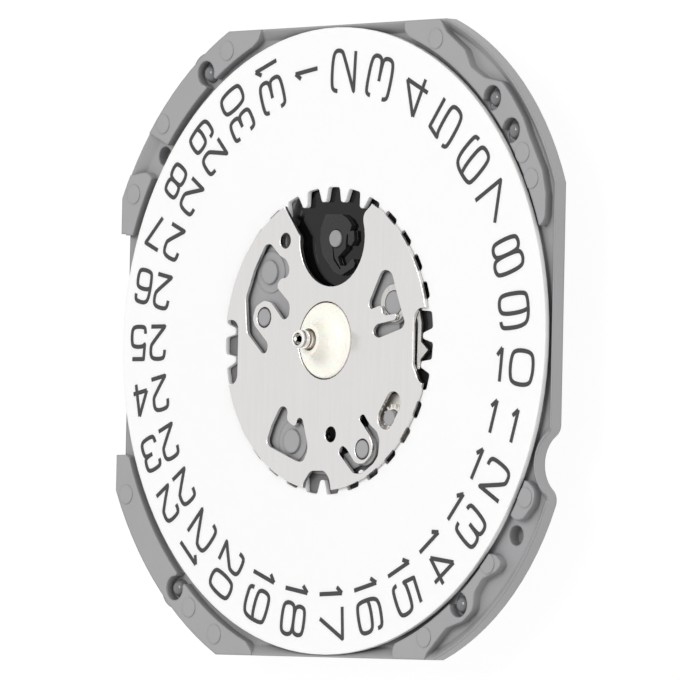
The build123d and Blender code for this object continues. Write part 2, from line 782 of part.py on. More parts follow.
# Centre bush: brass ring pressed into the web, where the cannon pinion turns.
with BuildPart() as center_bush:
    with BuildSketch(Plane.XY.offset(web_bottom)):
        Circle(cannon_radius + 2 * train_wall)
        Circle(cannon_radius + running_clearance, mode=Mode.SUBTRACT)
    extrude(amount=web_thickness)
center_bush.part.label = "center_bush"


# Date wheel post: turned steel pin pressed into the plate, with a chamfered head.
date_post_height = 0.05
date_post_top = ring_top + date_post_height
date_post_chamfer = 0.04
with BuildPart() as date_wheel_post:
    with BuildSketch(Plane.XY.offset(date_floor - date_post_depth)):
        with Locations(date_axis):
            Circle(date_post_radius)
    extrude(amount=date_post_top - date_floor + date_post_depth)
    chamfer(date_wheel_post.faces().sort_by(Axis.Z)[-1].edges(), date_post_chamfer)
date_wheel_post.part.label = "date_wheel_post"


# Stake pins: five domed plastic pins that hold the rim's inserts, one in each pit.
stake_radius = 0.34
stake_height = 0.36
stake_rounding = 0.30
with BuildPart() as stake_pins:
    with BuildSketch(Plane.XY.offset(pad_top - pit_depth)):
        with Locations(*pit_places):
            Circle(stake_radius)
    extrude(amount=stake_height)
    fillet(stake_pins.faces().sort_by(Axis.Z)[-len(pit_places):].edges(), stake_rounding)
stake_pins.part.label = "stake_pins"


# Date ring: white printed plastic ring with teeth on its inner edge.
ring_tip_share = 0.102
ring_root_share = 0.235
ring_first_gap = 7.1
ring_tooth_rounding = 0.12


def ring_opening():
    """Toothed opening of the date ring."""
    step = 360 / ring_teeth
    corners = []
    for tooth in range(ring_teeth):
        for radius, share in (
            (ring_root_radius, -ring_root_share),
            (ring_tip_radius, -ring_tip_share),
            (ring_tip_radius, ring_tip_share),
            (ring_root_radius, ring_root_share),
        ):
            corners.append(polar(radius, ring_first_gap + step * (tooth + share + 1 / 2)))
    return window(corners, ring_tooth_rounding)


with BuildPart() as date_ring:
    with BuildSketch(Plane.XY.offset(ring_bottom)):
        Circle(ring_radius)
        add(ring_opening(), mode=Mode.SUBTRACT)
    extrude(amount=ring_thickness)
date_ring.part.label = "date_ring"


# Date guard: bright sheet metal plate over the ring's teeth, pierced with windows for its
# spring tabs, with notches at its rim and a wide opening over the date wheel.
guard_rounding = 0.40
guard_hole_radius = 0.30
guard_pin_clearance = 0.06
guard_chamfer = 0.02
slot_start_share = (0.612, -0.519)
slot_end_share = (0.681, -0.420)
slot_radius = 0.43
date_opening_radius = 1.84
guard_hole_shares = ((-0.412, 0.674), (0.076, -0.626))
upper_left_window_shares = (
    (-0.615, 0.650), (-0.560, 0.655), (-0.465, 0.572), (-0.400, 0.545), (-0.362, 0.482), (-0.388, 0.425),
    (-0.455, 0.425), (-0.496, 0.365), (-0.355, 0.250), (-0.362, 0.165), (-0.420, 0.140), (-0.545, 0.262),
    (-0.618, 0.278), (-0.696, 0.240), (-0.727, 0.162), (-0.707, 0.108), (-0.566, -0.017),
    (-0.579, -0.072), (-0.622, -0.082), (-0.779, 0.058), (-0.802, 0.295), (-0.724, 0.482),
)
upper_right_window_shares = (
    (0.548, 0.466), (0.642, 0.446), (0.709, 0.272), (0.781, 0.108), (0.757, 0.074), (0.514, 0.008),
    (0.464, 0.050), (0.500, 0.100), (0.690, 0.128), (0.700, 0.172), (0.565, 0.158), (0.552, 0.232),
    (0.440, 0.200), (0.425, 0.245),
)
lower_left_window_shares = (
    (-0.428, -0.430), (-0.350, -0.452), (-0.368, -0.530), (-0.278, -0.580), (-0.254, -0.512),
    (-0.208, -0.520), (-0.155, -0.680), (-0.150, -0.735), (-0.192, -0.805), (-0.250, -0.806),
    (-0.535, -0.704), (-0.560, -0.665), (-0.517, -0.564),
)
lower_right_window_shares = (
    (0.348, -0.520), (0.392, -0.486), (0.459, -0.564), (0.532, -0.612), (0.558, -0.668), (0.545, -0.770),
    (0.500, -0.820), (0.389, -0.886), (0.305, -0.886), (0.152, -0.745), (0.190, -0.698), (0.235, -0.722),
    (0.326, -0.822), (0.405, -0.822), (0.482, -0.762), (0.492, -0.690), (0.462, -0.636),
)
left_notch_shares = ((-0.871, 0.150), (-0.871, -0.280), (-1.050, -0.300), (-1.050, 0.150))
bottom_notch_shares = (
    (-0.190, -0.950), (-0.120, -0.868), (0.020, -0.868), (0.070, -0.920), (0.100, -1.050), (-0.190, -1.050),
)
right_notch_shares = (
    (0.865, 0.150), (0.900, 0.200), (1.060, 0.210), (1.060, -0.310), (0.930, -0.290), (0.865, -0.170),
)
date_opening_shares = (
    (-0.270, 0.700), (-0.430, 0.900), (-0.430, 1.100), (0.470, 1.100), (0.440, 0.900), (0.352, 0.835),
    (0.366, 0.660),
)
guard_windows = (
    upper_left_window_shares,
    upper_right_window_shares,
    lower_left_window_shares,
    lower_right_window_shares,
    left_notch_shares,
    bottom_notch_shares,
    right_notch_shares,
    date_opening_shares,
)
with BuildPart() as date_guard_plate:
    with BuildSketch(Plane.XY.offset(guard_bottom)):
        Circle(guard_radius)
        for shares in guard_windows:
            add(window(scaled(shares, guard_radius), guard_rounding), mode=Mode.SUBTRACT)
        Circle(hub_hole_radius, mode=Mode.SUBTRACT)
        with Locations(date_axis):
            Circle(date_opening_radius, mode=Mode.SUBTRACT)
        with Locations(*scaled(guard_hole_shares, guard_radius)):
            Circle(guard_hole_radius, mode=Mode.SUBTRACT)
        with Locations(*pin_places):
            Circle(pin_radius + guard_pin_clearance, mode=Mode.SUBTRACT)
        add(
            bar(*scaled((slot_start_share, slot_end_share), guard_radius), slot_radius),
            mode=Mode.SUBTRACT,
        )
    extrude(amount=guard_thickness)
    chamfer(date_guard_plate.faces().sort_by(Axis.Z)[-1].edges(), guard_chamfer)
date_guard_plate.part.label = "date_guard_plate"


# Date jumper: steel leaf held on a post, whose nose rests between two teeth of the ring.
jumper_thickness = 0.10
jumper_half = 0.09
jumper_eye_wall = 0.26
jumper_bottom = land_top + mark_height
jumper_eye = post_places[1]
jumper_root_share = (0.862, 0.2265)
jumper_bend_share = (0.8955, 0.1045)
jumper_end_share = (0.892, -0.183)
nose_shares = ((0.885, 0.0035), (0.979, -0.073), (0.885, -0.153))
jumper_root = placed(jumper_root_share, guard_radius)
jumper_bend = placed(jumper_bend_share, guard_radius)
jumper_end = placed(jumper_end_share, guard_radius)
with BuildPart() as date_jumper:
    with BuildSketch(Plane.XY.offset(jumper_bottom)):
        with Locations(jumper_eye):
            Circle(post_radius + jumper_eye_wall)
        add(bar(jumper_eye, jumper_root, 2 * jumper_half))
        add(bar(jumper_root, jumper_bend, jumper_half))
        add(bar(jumper_bend, jumper_end, jumper_half))
        add(window(scaled(nose_shares, guard_radius), jumper_half / 3))
        with Locations(jumper_eye):
            Circle(post_radius + running_clearance, mode=Mode.SUBTRACT)
    extrude(amount=jumper_thickness)
date_jumper.part.label = "date_jumper"


# Date driving wheel: black plastic wheel that steps the ring with its finger once a day.
date_hub_radius = 0.80
date_disc_radius = 2.25
date_disc_gap = 0.03
date_disc_top = ring_bottom - date_disc_gap
date_finger_drop = 0.04
date_finger_top = ring_top - date_finger_drop
date_finger_rounding = 0.05
finger_shares = (
    (-0.2756, 0.4222), (0.1333, 0.4089), (0.2844, 0.3289), (0.3822, 0.2222), (0.3422, 0.1200),
    (0.2533, 0.0489), (0.2356, -0.1778), (0.0444, -0.3200), (0.1156, -0.4622), (0.2533, -0.4711),
    (0.4356, -0.3422), (0.4800, -0.4400), (0.4533, -0.4978), (0.1333, -0.6311), (-0.0489, -0.5600),
    (-0.2267, -0.3822), (-0.3333, -0.2800), (-0.4089, -0.0311), (-0.3956, 0.1778),
)
slit_shares = (
    (-0.0711, -0.1333), (-0.0978, -0.1333), (-0.0622, -0.3556), (0.1156, -0.5333), (0.1289, -0.5067),
    (-0.0267, -0.3378),
)
stop_block_shares = (
    (0.2933, 0.1067), (0.4356, 0.1333), (0.4533, -0.0444), (0.3733, -0.1333), (0.2933, -0.0978),
)
finger_places = [stepped(date_axis, step) for step in scaled(finger_shares, date_disc_radius)]
slit_places = [stepped(date_axis, step) for step in scaled(slit_shares, date_disc_radius)]
stop_places = [stepped(date_axis, step) for step in scaled(stop_block_shares, date_disc_radius)]
with BuildPart() as date_driving_wheel:
    with BuildSketch(Plane.XY.offset(date_floor + face_clearance)):
        with Locations(date_axis):
            Circle(date_hub_radius)
    extrude(amount=date_gear_bottom - date_floor - face_clearance)
    with BuildSketch(Plane.XY.offset(date_gear_bottom)):
        with Locations(date_axis):
            add(toothed(date_teeth, date_pitch, date_turn))
    extrude(amount=date_gear_thickness)
    with BuildSketch(Plane.XY.offset(date_gear_bottom + date_gear_thickness)):
        with Locations(date_axis):
            Circle(date_disc_radius)
    extrude(amount=date_disc_top - date_gear_bottom - date_gear_thickness)
    with BuildSketch(Plane.XY.offset(date_disc_top)):
        add(window(finger_places, date_finger_rounding))
        add(outline(slit_places), mode=Mode.SUBTRACT)
        add(window(stop_places, date_finger_rounding))
    extrude(amount=date_finger_top - date_disc_top)
    with BuildSketch(Plane.XY.offset(date_floor)):
        with Locations(date_axis):
            Circle(date_post_radius + running_clearance)
    extrude(amount=date_finger_top - date_floor, mode=Mode.SUBTRACT)
date_driving_wheel.part.label = "date_driving_wheel"


# Date corrector wheel: steel disc and star on the stud under the oblong slot.
corrector_disc_gap = 0.03
corrector_disc_top = ring_bottom - corrector_disc_gap
corrector_star_drop = 0.03
corrector_star_top = ring_top - corrector_star_drop
corrector_teeth = 14
corrector_pitch = 0.48
with BuildPart() as date_corrector_wheel:
    with BuildSketch(Plane.XY.offset(corrector_floor + face_clearance / 2)):
        with Locations(corrector_axis):
            Circle(corrector_disc_radius - face_clearance)
    extrude(amount=corrector_disc_top - corrector_floor - face_clearance / 2)
    with BuildSketch(Plane.XY.offset(corrector_disc_top)):
        with Locations(corrector_axis):
            add(toothed(corrector_teeth, corrector_pitch))
    extrude(amount=corrector_star_top - corrector_disc_top)
    with BuildSketch(Plane.XY.offset(corrector_floor)):
        with Locations(corrector_axis):
            Circle(corrector_stud_radius + running_clearance)
    extrude(amount=corrector_star_top - corrector_floor, mode=Mode.SUBTRACT)
date_corrector_wheel.part.label = "date_corrector_wheel"


# Hour wheel: ivory plastic, with a wheel for the minute pinion, a wheel that drives the date
# wheel, a round base in the guard's hole and a trumpet-shaped pipe for the hour hand.
hour_core_radius = 1.08
hour_base_radius = 1.45
hour_base_bottom = date_gear_bottom + date_gear_thickness + face_clearance
hour_base_height = 0.22
hour_base_top = ring_top + hour_base_height
hour_base_rounding = 0.06
hour_flare_radius = 0.80
hour_flare_height = 0.36
hour_flare_level = ring_top + hour_flare_height
hour_seat_length = 0.21
hour_pipe_start = hour_pipe_end - hour_seat_length
with BuildPart() as hour_wheel:
    with BuildSketch(turned_plane(hands_axis)):
        with BuildLine():
            Polyline(
                (hour_bore_radius, hour_gear_bottom),
                (hour_core_radius, hour_gear_bottom),
                (hour_core_radius, hour_base_bottom),
                (hour_base_radius, hour_base_bottom),
                (hour_base_radius, hour_base_top - hour_base_rounding),
                (hour_base_radius - hour_base_rounding, hour_base_top),
            )
            ThreePointArc(
                (hour_base_radius - hour_base_rounding, hour_base_top),
                (hour_flare_radius, hour_flare_level),
                (hour_seat_radius, hour_pipe_start),
            )
            Polyline(
                (hour_seat_radius, hour_pipe_start),
                (hour_seat_radius, hour_pipe_end),
                (hour_bore_radius, hour_pipe_end),
                (hour_bore_radius, hour_gear_bottom),
            )
        make_face()
    revolve(axis=upright(hands_axis))
    with BuildSketch(Plane.XY.offset(hour_gear_bottom)):
        add(toothed(hour_teeth, hour_pitch, hour_turn))
        Circle(hour_bore_radius, mode=Mode.SUBTRACT)
    extrude(amount=hour_gear_thickness)
    with BuildSketch(Plane.XY.offset(date_gear_bottom)):
        add(toothed(hour_date_teeth, hour_date_pitch))
        Circle(hour_bore_radius, mode=Mode.SUBTRACT)
    extrude(amount=date_gear_thickness)
hour_wheel.part.label = "hour_wheel"


# Cannon pinion: steel tube through the centre bush, which narrows inside the hour wheel to the
# seat of the minute hand on top.
cannon_foot_drop = 0.08
cannon_bottom = center_wheel_bottom - cannon_foot_drop
cannon_shoulder = hour_pipe_end + face_clearance
cannon_taper_length = 0.55
cannon_bore_radius = 0.13
cannon_gear_bottom = web_top + face_clearance
cannon_tip_depth = 0.50
cannon_tip_chamfer = 0.03
with BuildPart() as cannon_pinion:
    with BuildSketch(turned_plane(hands_axis)):
        add(
            outline(
                (
                    (0, cannon_bottom),
                    (cannon_radius, cannon_bottom),
                    (cannon_radius, cannon_shoulder - cannon_taper_length),
                    (minute_seat_radius, cannon_shoulder),
                    (minute_seat_radius, minute_pipe_end - cannon_tip_chamfer),
                    (minute_seat_radius - cannon_tip_chamfer, minute_pipe_end),
                    (0, minute_pipe_end),
                )
            )
        )
    revolve(axis=upright(hands_axis))
    with BuildSketch(Plane.XY.offset(cannon_gear_bottom)):
        add(toothed(cannon_teeth, cannon_pitch))
    extrude(amount=cannon_gear_height)
    with BuildSketch(Plane.XY.offset(cannon_bottom)):
        Circle(cannon_bore_radius)
    extrude(amount=minute_pipe_end - cannon_bottom, mode=Mode.SUBTRACT)
    with BuildSketch(Plane.XY.offset(minute_pipe_end)):
        Circle(minute_bore_radius)
    extrude(amount=-cannon_tip_depth, mode=Mode.SUBTRACT)
cannon_pinion.part.label = "cannon_pinion"


# Minute wheel and its pinion, on a stud of the plate.
minute_wheel_bottom = web_top + wheel_lift
minute_pinion_gap = 0.02
minute_pinion_top = hour_gear_bottom + hour_gear_thickness - minute_pinion_gap
with BuildPart() as minute_wheel:
    with BuildSketch(Plane.XY.offset(minute_wheel_bottom)):
        with Locations(minute_axis):
            add(toothed(minute_teeth, minute_pitch, minute_turn))
    extrude(amount=minute_wheel_thickness)
    with BuildSketch(Plane.XY.offset(minute_wheel_bottom)):
        with Locations(minute_axis):
            add(toothed(minute_pinion_teeth, minute_pinion_pitch))
    extrude(amount=minute_pinion_top - minute_wheel_bottom)
    with BuildSketch(Plane.XY.offset(minute_wheel_bottom)):
        with Locations(minute_axis):
            Circle(stud_radius + running_clearance)
    extrude(amount=minute_pinion_top - minute_wheel_bottom, mode=Mode.SUBTRACT)
minute_wheel.part.label = "minute_wheel"


# Setting wheel: joins the clutch wheel to the minute wheel when the hands are set.
setting_hub_radius = 0.38
setting_hub_gap = 0.05
setting_hub_top = guard_bottom - setting_hub_gap
with BuildPart() as setting_wheel:
    with BuildSketch(Plane.XY.offset(minute_wheel_bottom)):
        with Locations(setting_axis):
            add(toothed(setting_teeth, setting_pitch, setting_turn))
    extrude(amount=minute_wheel_thickness)
    with BuildSketch(Plane.XY.offset(minute_wheel_bottom)):
        with Locations(setting_axis):
            Circle(setting_hub_radius)
    extrude(amount=setting_hub_top - minute_wheel_bottom)
    with BuildSketch(Plane.XY.offset(minute_wheel_bottom)):
        with Locations(setting_axis):
            Circle(stud_radius + running_clearance)
    extrude(amount=setting_hub_top - minute_wheel_bottom, mode=Mode.SUBTRACT)
setting_wheel.part.label = "setting_wheel"


# Centre wheel: brass wheel held by friction on the foot of the cannon pinion.
friction_clearance = 0.01
center_hub_radius = 0.55
with BuildPart() as center_wheel:
    with BuildSketch(Plane.XY.offset(center_wheel_bottom)):
        add(toothed(center_teeth, center_pitch, center_turn))
    extrude(amount=thin_wheel)
    with BuildSketch(Plane.XY.offset(center_wheel_bottom)):
        Circle(center_hub_radius)
    extrude(amount=web_bottom - face_clearance - center_wheel_bottom)
    with BuildSketch(Plane.XY.offset(center_wheel_bottom)):
        Circle(cannon_radius + friction_clearance)
    extrude(amount=web_bottom - center_wheel_bottom, mode=Mode.SUBTRACT)
center_wheel.part.label = "center_wheel"


# Levels that the arbors of the train share
pivot_bottom = plate_floor - pivot_length
arbor_shake = 0.02
arbor_end_shake = 0.03
arbor_bottom = plate_floor + arbor_shake
arbor_top = web_bottom - arbor_end_shake
pivot_top = arbor_top + pivot_length


def arbor_profile():
    """Half section of an arbor with a pivot at each end."""
    return outline(
        (
            (0, pivot_bottom),
            (pivot_radius, pivot_bottom),
            (pivot_radius, arbor_bottom),
            (arbor_radius, arbor_bottom),
            (arbor_radius, arbor_top),
            (pivot_radius, arbor_top),
            (pivot_radius, pivot_top),
            (0, pivot_top),
        )
    )


# Third wheel: between the second wheel's pinion and the centre wheel.
third_pinion_top = center_wheel_bottom + 2 * thin_wheel
with BuildPart() as third_wheel:
    with BuildSketch(turned_plane(third_axis)):
        add(arbor_profile())
    revolve(axis=upright(third_axis))
    with BuildSketch(Plane.XY.offset(third_wheel_bottom)):
        with Locations(third_axis):
            add(toothed(third_teeth, third_pitch, third_turn))
    extrude(amount=thin_wheel)
    with BuildSketch(Plane.XY.offset(third_wheel_bottom)):
        with Locations(third_axis):
            add(toothed(pinion_teeth, third_pinion_pitch))
    extrude(amount=third_pinion_top - third_wheel_bottom)
third_wheel.part.label = "third_wheel"


# Second wheel: its long arbor runs up through the cannon pinion and carries the second hand.
second_hub_gap = 0.02
second_hub_top = cannon_bottom - second_hub_gap
second_pinion_bottom = second_wheel_bottom + thin_wheel
second_pinion_top = third_wheel_bottom + 2 * thin_wheel
second_tip_chamfer = 0.02
second_taper_length = 0.55
with BuildPart() as second_wheel:
    with BuildSketch(turned_plane(hands_axis)):
        add(
            outline(
                (
                    (0, pivot_bottom),
                    (pivot_radius, pivot_bottom),
                    (pivot_radius, arbor_bottom),
                    (arbor_radius, arbor_bottom),
                    (arbor_radius, second_hub_top),
                    (second_arbor_radius, second_hub_top),
                    (second_arbor_radius, minute_pipe_end - second_taper_length),
                    (second_seat_radius, minute_pipe_end),
                    (second_seat_radius, second_arbor_end - second_tip_chamfer),
                    (second_seat_radius - second_tip_chamfer, second_arbor_end),
                    (0, second_arbor_end),
                )
            )
        )
    revolve(axis=upright(hands_axis))
    with BuildSketch(Plane.XY.offset(second_wheel_bottom)):
        add(toothed(second_teeth, second_pitch))
    extrude(amount=thin_wheel)
    with BuildSketch(Plane.XY.offset(second_pinion_bottom)):
        add(toothed(pinion_teeth, slow_pinion_pitch))
    extrude(amount=second_pinion_top - second_pinion_bottom)
second_wheel.part.label = "second_wheel"


# Fifth wheel: between the rotor pinion and the second wheel.
fifth_pinion_gap = 0.02
fifth_pinion_top = second_wheel_bottom + 2 * thin_wheel - fifth_pinion_gap
with BuildPart() as fifth_wheel:
    with BuildSketch(turned_plane(fifth_axis)):
        add(arbor_profile())
    revolve(axis=upright(fifth_axis))
    with BuildSketch(Plane.XY.offset(fifth_wheel_bottom)):
        with Locations(fifth_axis):
            add(toothed(fifth_teeth, fifth_pitch))
    extrude(amount=thin_wheel)
    with BuildSketch(Plane.XY.offset(fifth_wheel_bottom)):
        with Locations(fifth_axis):
            add(toothed(pinion_teeth, pinion_pitch, fifth_turn))
    extrude(amount=fifth_pinion_top - fifth_wheel_bottom)
fifth_wheel.part.label = "fifth_wheel"


# Rotor: steel arbor with a six-leaf pinion, and the round magnet pressed on it.
rotor_pinion_top = fifth_wheel_bottom + thin_wheel + face_clearance
rotor_magnet_bottom = stator_bottom + stator_thickness / 2 - magnet_height / 2
with BuildPart() as rotor_pinion:
    with BuildSketch(turned_plane(rotor_axis)):
        add(arbor_profile())
    revolve(axis=upright(rotor_axis))
    with BuildSketch(Plane.XY.offset(arbor_bottom)):
        with Locations(rotor_axis):
            add(toothed(rotor_teeth, rotor_pitch, rotor_turn))
    extrude(amount=rotor_pinion_top - arbor_bottom)
rotor_pinion.part.label = "rotor_pinion"

with BuildPart() as rotor_magnet:
    with BuildSketch(Plane.XY.offset(rotor_magnet_bottom)):
        with Locations(rotor_axis):
            Circle(magnet_radius)
            Circle(arbor_radius, mode=Mode.SUBTRACT)
    extrude(amount=magnet_height)
rotor_magnet.part.label = "rotor_magnet"


# Train bridge: brass plate under the train, with four jewels and three screws.
jewel_radius = 0.32
bridge_rounding = 0.40
screw_head_height = 0.18
bridge_screw_end = plate_floor + screw_hole_depth - screw_end_gap
bridge_shares = (
    (-0.505, 0.394), (0.344, 0.317), (0.349, -0.266), (0.248, -0.321), (-0.046, -0.408),
    (-0.147, -0.211), (-0.367, -0.055), (-0.505, 0.055),
)
jewel_places = (hands_axis, third_axis, fifth_axis, rotor_axis)
with BuildPart() as train_bridge:
    with BuildSketch(Plane.XY.offset(bridge_bottom)):
        add(window(scaled(bridge_shares, lower_radius), bridge_rounding))
        with Locations(*jewel_places):
            Circle(jewel_radius, mode=Mode.SUBTRACT)
        with Locations(*bridge_screw_places):
            Circle(screw_shank_radius + running_clearance, mode=Mode.SUBTRACT)
    extrude(amount=bridge_thickness)
    with BuildSketch(Plane.XY.offset(bridge_bottom)):
        with Locations(*bridge_screw_places):
            Circle(screw_head_radius + running_clearance)
    extrude(amount=screw_head_height, mode=Mode.SUBTRACT)
train_bridge.part.label = "train_bridge"

with BuildPart() as bridge_jewels:
    with BuildSketch(Plane.XY.offset(bridge_bottom)):
        with Locations(*jewel_places):
            Circle(jewel_radius)
            Circle(pivot_radius + running_clearance, mode=Mode.SUBTRACT)
    extrude(amount=bridge_thickness)
bridge_jewels.part.label = "bridge_jewels"


def screw_profile(head_bottom, head_top, shank_end, head_radius):
    """Half section of a screw whose head faces the back."""
    return outline(
        (
            (0, head_bottom),
            (head_radius, head_bottom),
            (head_radius, head_top),
            (screw_shank_radius, head_top),
            (screw_shank_radius, shank_end),
            (0, shank_end),
        )
    )


screw_slot_width = 0.16
screw_slot_depth = 0.08
with BuildPart() as bridge_screws:
    for place in bridge_screw_places:
        with BuildSketch(turned_plane(place)):
            add(
                screw_profile(
                    bridge_bottom, bridge_bottom + screw_head_height, bridge_screw_end, screw_head_radius
                )
            )
        revolve(axis=upright(place))
    with BuildSketch(Plane.XY.offset(bridge_bottom)):
        with Locations(*bridge_screw_places):
            Rectangle(4 * screw_head_radius, screw_slot_width)
    extrude(amount=screw_slot_depth, mode=Mode.SUBTRACT)
bridge_screws.part.label = "bridge_screws"


# Stator: soft iron plate around the rotor, with an arm to each end of the coil core.
stator_notch_radius = 0.12
with BuildPart() as stator:
    with BuildSketch(Plane.XY.offset(stator_bottom)):
        with Locations(rotor_axis):
            Circle(stator_hole_radius + stator_rim)
        add(bar(rotor_axis, coil_left, arm_half))
        add(bar(rotor_axis, coil_right, arm_half))
        with Locations(rotor_axis):
            Circle(stator_hole_radius, mode=Mode.SUBTRACT)
            with PolarLocations(stator_hole_radius, 2, coil_turn):
                Circle(stator_notch_radius, mode=Mode.SUBTRACT)
        with Locations(coil_left, coil_right):
            Circle(screw_shank_radius + running_clearance, mode=Mode.SUBTRACT)
    extrude(amount=stator_thickness)
stator.part.label = "stator"


# Coil: iron core between the stator's arms, bobbin with two flanges, winding and terminal board.
bobbin_wall = 0.08
flange_width = 0.12
winding_plane = Plane(
    origin=(coil_axis[0], coil_axis[1], core_level),
    x_dir=(-sin(radians(coil_turn)), cos(radians(coil_turn)), 0),
    z_dir=(cos(radians(coil_turn)), sin(radians(coil_turn)), 0),
)
with BuildPart() as coil_core:
    with BuildSketch(Plane.XY.offset(core_bottom)):
        add(bar(coil_left, coil_right, core_half_width))
        with Locations(coil_left, coil_right):
            Circle(core_end_radius)
            Circle(screw_shank_radius + running_clearance, mode=Mode.SUBTRACT)
    extrude(amount=core_thickness)
coil_core.part.label = "coil_core"

with BuildPart() as coil_bobbin:
    with BuildSketch(winding_plane):
        Rectangle(2 * (core_half_width + bobbin_wall), core_thickness + 2 * bobbin_wall)
    extrude(amount=winding_half, both=True)
    with BuildSketch(winding_plane.offset(winding_half), winding_plane.offset(-winding_half - flange_width)):
        Circle(bobbin_radius)
    extrude(amount=flange_width)
    with BuildSketch(winding_plane):
        Rectangle(2 * core_half_width, core_thickness)
    extrude(amount=winding_half + flange_width, both=True, mode=Mode.SUBTRACT)
coil_bobbin.part.label = "coil_bobbin"

with BuildPart() as coil_winding:
    with BuildSketch(winding_plane):
        Circle(winding_radius)
        Rectangle(2 * (core_half_width + bobbin_wall), core_thickness + 2 * bobbin_wall, mode=Mode.SUBTRACT)
    extrude(amount=winding_half, both=True)
coil_winding.part.label = "coil_winding"

terminal_thickness = 0.07
terminal_radius = 0.60
coil_head_radius = 0.45
coil_head_height = 0.22
with BuildPart() as coil_terminal_board:
    with BuildSketch(Plane.XY.offset(core_bottom - terminal_thickness)):
        with Locations(coil_right):
            Circle(terminal_radius)
            Circle(screw_shank_radius + running_clearance, mode=Mode.SUBTRACT)
    extrude(amount=terminal_thickness)
coil_terminal_board.part.label = "coil_terminal_board"

with BuildPart() as coil_screws:
    for place, seat in ((coil_left, core_bottom), (coil_right, core_bottom - terminal_thickness)):
        with BuildSketch(turned_plane(place)):
            add(
                screw_profile(
                    seat - coil_head_height,
                    seat,
                    stator_bottom + stator_thickness + coil_screw_depth - pocket_clearance,
                    coil_head_radius,
                )
            )
        revolve(axis=upright(place))
        with BuildSketch(Plane.XY.offset(seat - coil_head_height)):
            with Locations(place):
                Rectangle(4 * coil_head_radius, screw_slot_width)
        extrude(amount=screw_slot_depth, mode=Mode.SUBTRACT)
coil_screws.part.label = "coil_screws"


# Circuit: board with the chip and the crystal can soldered on its plate side.
board_rounding = 0.30
board_shares = (
    (-0.734, 0.183), (-0.633, 0), (-0.518, 0), (-0.578, 0.183), (-0.569, 0.4495), (0.569, 0.468),
    (0.560, 0.670), (0.422, 0.780), (0.183, 0.872), (-0.183, 0.881), (-0.477, 0.743), (-0.697, 0.541),
)
with BuildPart() as circuit_board:
    with BuildSketch(Plane.XY.offset(board_bottom)):
        add(window(scaled(board_shares, lower_radius), board_rounding))
    extrude(amount=board_thickness)
circuit_board.part.label = "circuit_board"

chip_rounding = 0.18
with BuildPart() as circuit_chip:
    with BuildSketch(Plane.XY.offset(plate_floor)):
        with Locations(chip_axis):
            RectangleRounded(chip_size, chip_size, chip_rounding)
    extrude(amount=chip_height)
circuit_chip.part.label = "circuit_chip"

crystal_level = plate_floor + crystal_radius
crystal_plane = Plane(
    origin=(crystal_axis[0], crystal_axis[1], crystal_level),
    x_dir=(-sin(radians(crystal_turn)), cos(radians(crystal_turn)), 0),
    z_dir=(cos(radians(crystal_turn)), sin(radians(crystal_turn)), 0),
)
crystal_rounding = 0.20
with BuildPart() as quartz_crystal:
    with BuildSketch(crystal_plane):
        Circle(crystal_radius)
    extrude(amount=crystal_length / 2, both=True)
    fillet(quartz_crystal.edges(), crystal_rounding)
quartz_crystal.part.label = "quartz_crystal"


# Battery: steel can, gasket, cap towards the dial and the pellet between them.
can_wall = 0.20
gasket_wall = 0.30
cap_wall = 0.15
can_rim = 0.15
cap_depth = 0.45
can_bore_radius = battery_radius - can_wall
cap_radius = can_bore_radius - gasket_wall
can_floor = battery_bottom + can_wall
can_top = battery_top - can_rim
gasket_top = battery_top - can_rim / 2
cap_bottom = battery_top - cap_depth
with BuildPart() as battery_can:
    with BuildSketch(Plane.XY.offset(battery_bottom)):
        with Locations(battery_axis):
            Circle(battery_radius)
    extrude(amount=can_top - battery_bottom)
    chamfer(battery_can.faces().sort_by(Axis.Z)[0].edges(), can_rim)
    with BuildSketch(Plane.XY.offset(can_floor)):
        with Locations(battery_axis):
            Circle(can_bore_radius)
    extrude(amount=can_top - can_floor, mode=Mode.SUBTRACT)
battery_can.part.label = "battery_can"

with BuildPart() as battery_gasket:
    with BuildSketch(Plane.XY.offset(can_floor)):
        with Locations(battery_axis):
            Circle(can_bore_radius)
            Circle(cap_radius, mode=Mode.SUBTRACT)
    extrude(amount=gasket_top - can_floor)
battery_gasket.part.label = "battery_gasket"

with BuildPart() as battery_cap:
    with BuildSketch(Plane.XY.offset(cap_bottom)):
        with Locations(battery_axis):
            Circle(cap_radius)
    extrude(amount=battery_top - cap_bottom)
    with BuildSketch(Plane.XY.offset(cap_bottom)):
        with Locations(battery_axis):
            Circle(cap_radius - cap_wall)
    extrude(amount=cap_depth - cap_wall, mode=Mode.SUBTRACT)
battery_cap.part.label = "battery_cap"

with BuildPart() as battery_pellet:
    with BuildSketch(Plane.XY.offset(can_floor)):
        with Locations(battery_axis):
            Circle(cap_radius)
    extrude(amount=cap_bottom - can_floor)
    with BuildSketch(Plane.XY.offset(cap_bottom)):
        with Locations(battery_axis):
            Circle(cap_radius - cap_wall)
    extrude(amount=cap_depth - cap_wall)
battery_pellet.part.label = "battery_pellet"

contact_thickness = 0.06
contact_bottom = battery_top
contact_foot_half = 0.30
with BuildPart() as battery_contact:
    with BuildSketch(Plane.XY.offset(contact_bottom)):
        add(bar(battery_axis, contact_axis, contact_half))
    extrude(amount=contact_thickness)
    with BuildSketch(Plane.XY.offset(plate_floor)):
        with Locations(contact_axis):
            Rectangle(2 * contact_foot_half, contact_foot_half / 2)
    extrude(amount=contact_bottom - plate_floor)
battery_contact.part.label = "battery_contact"


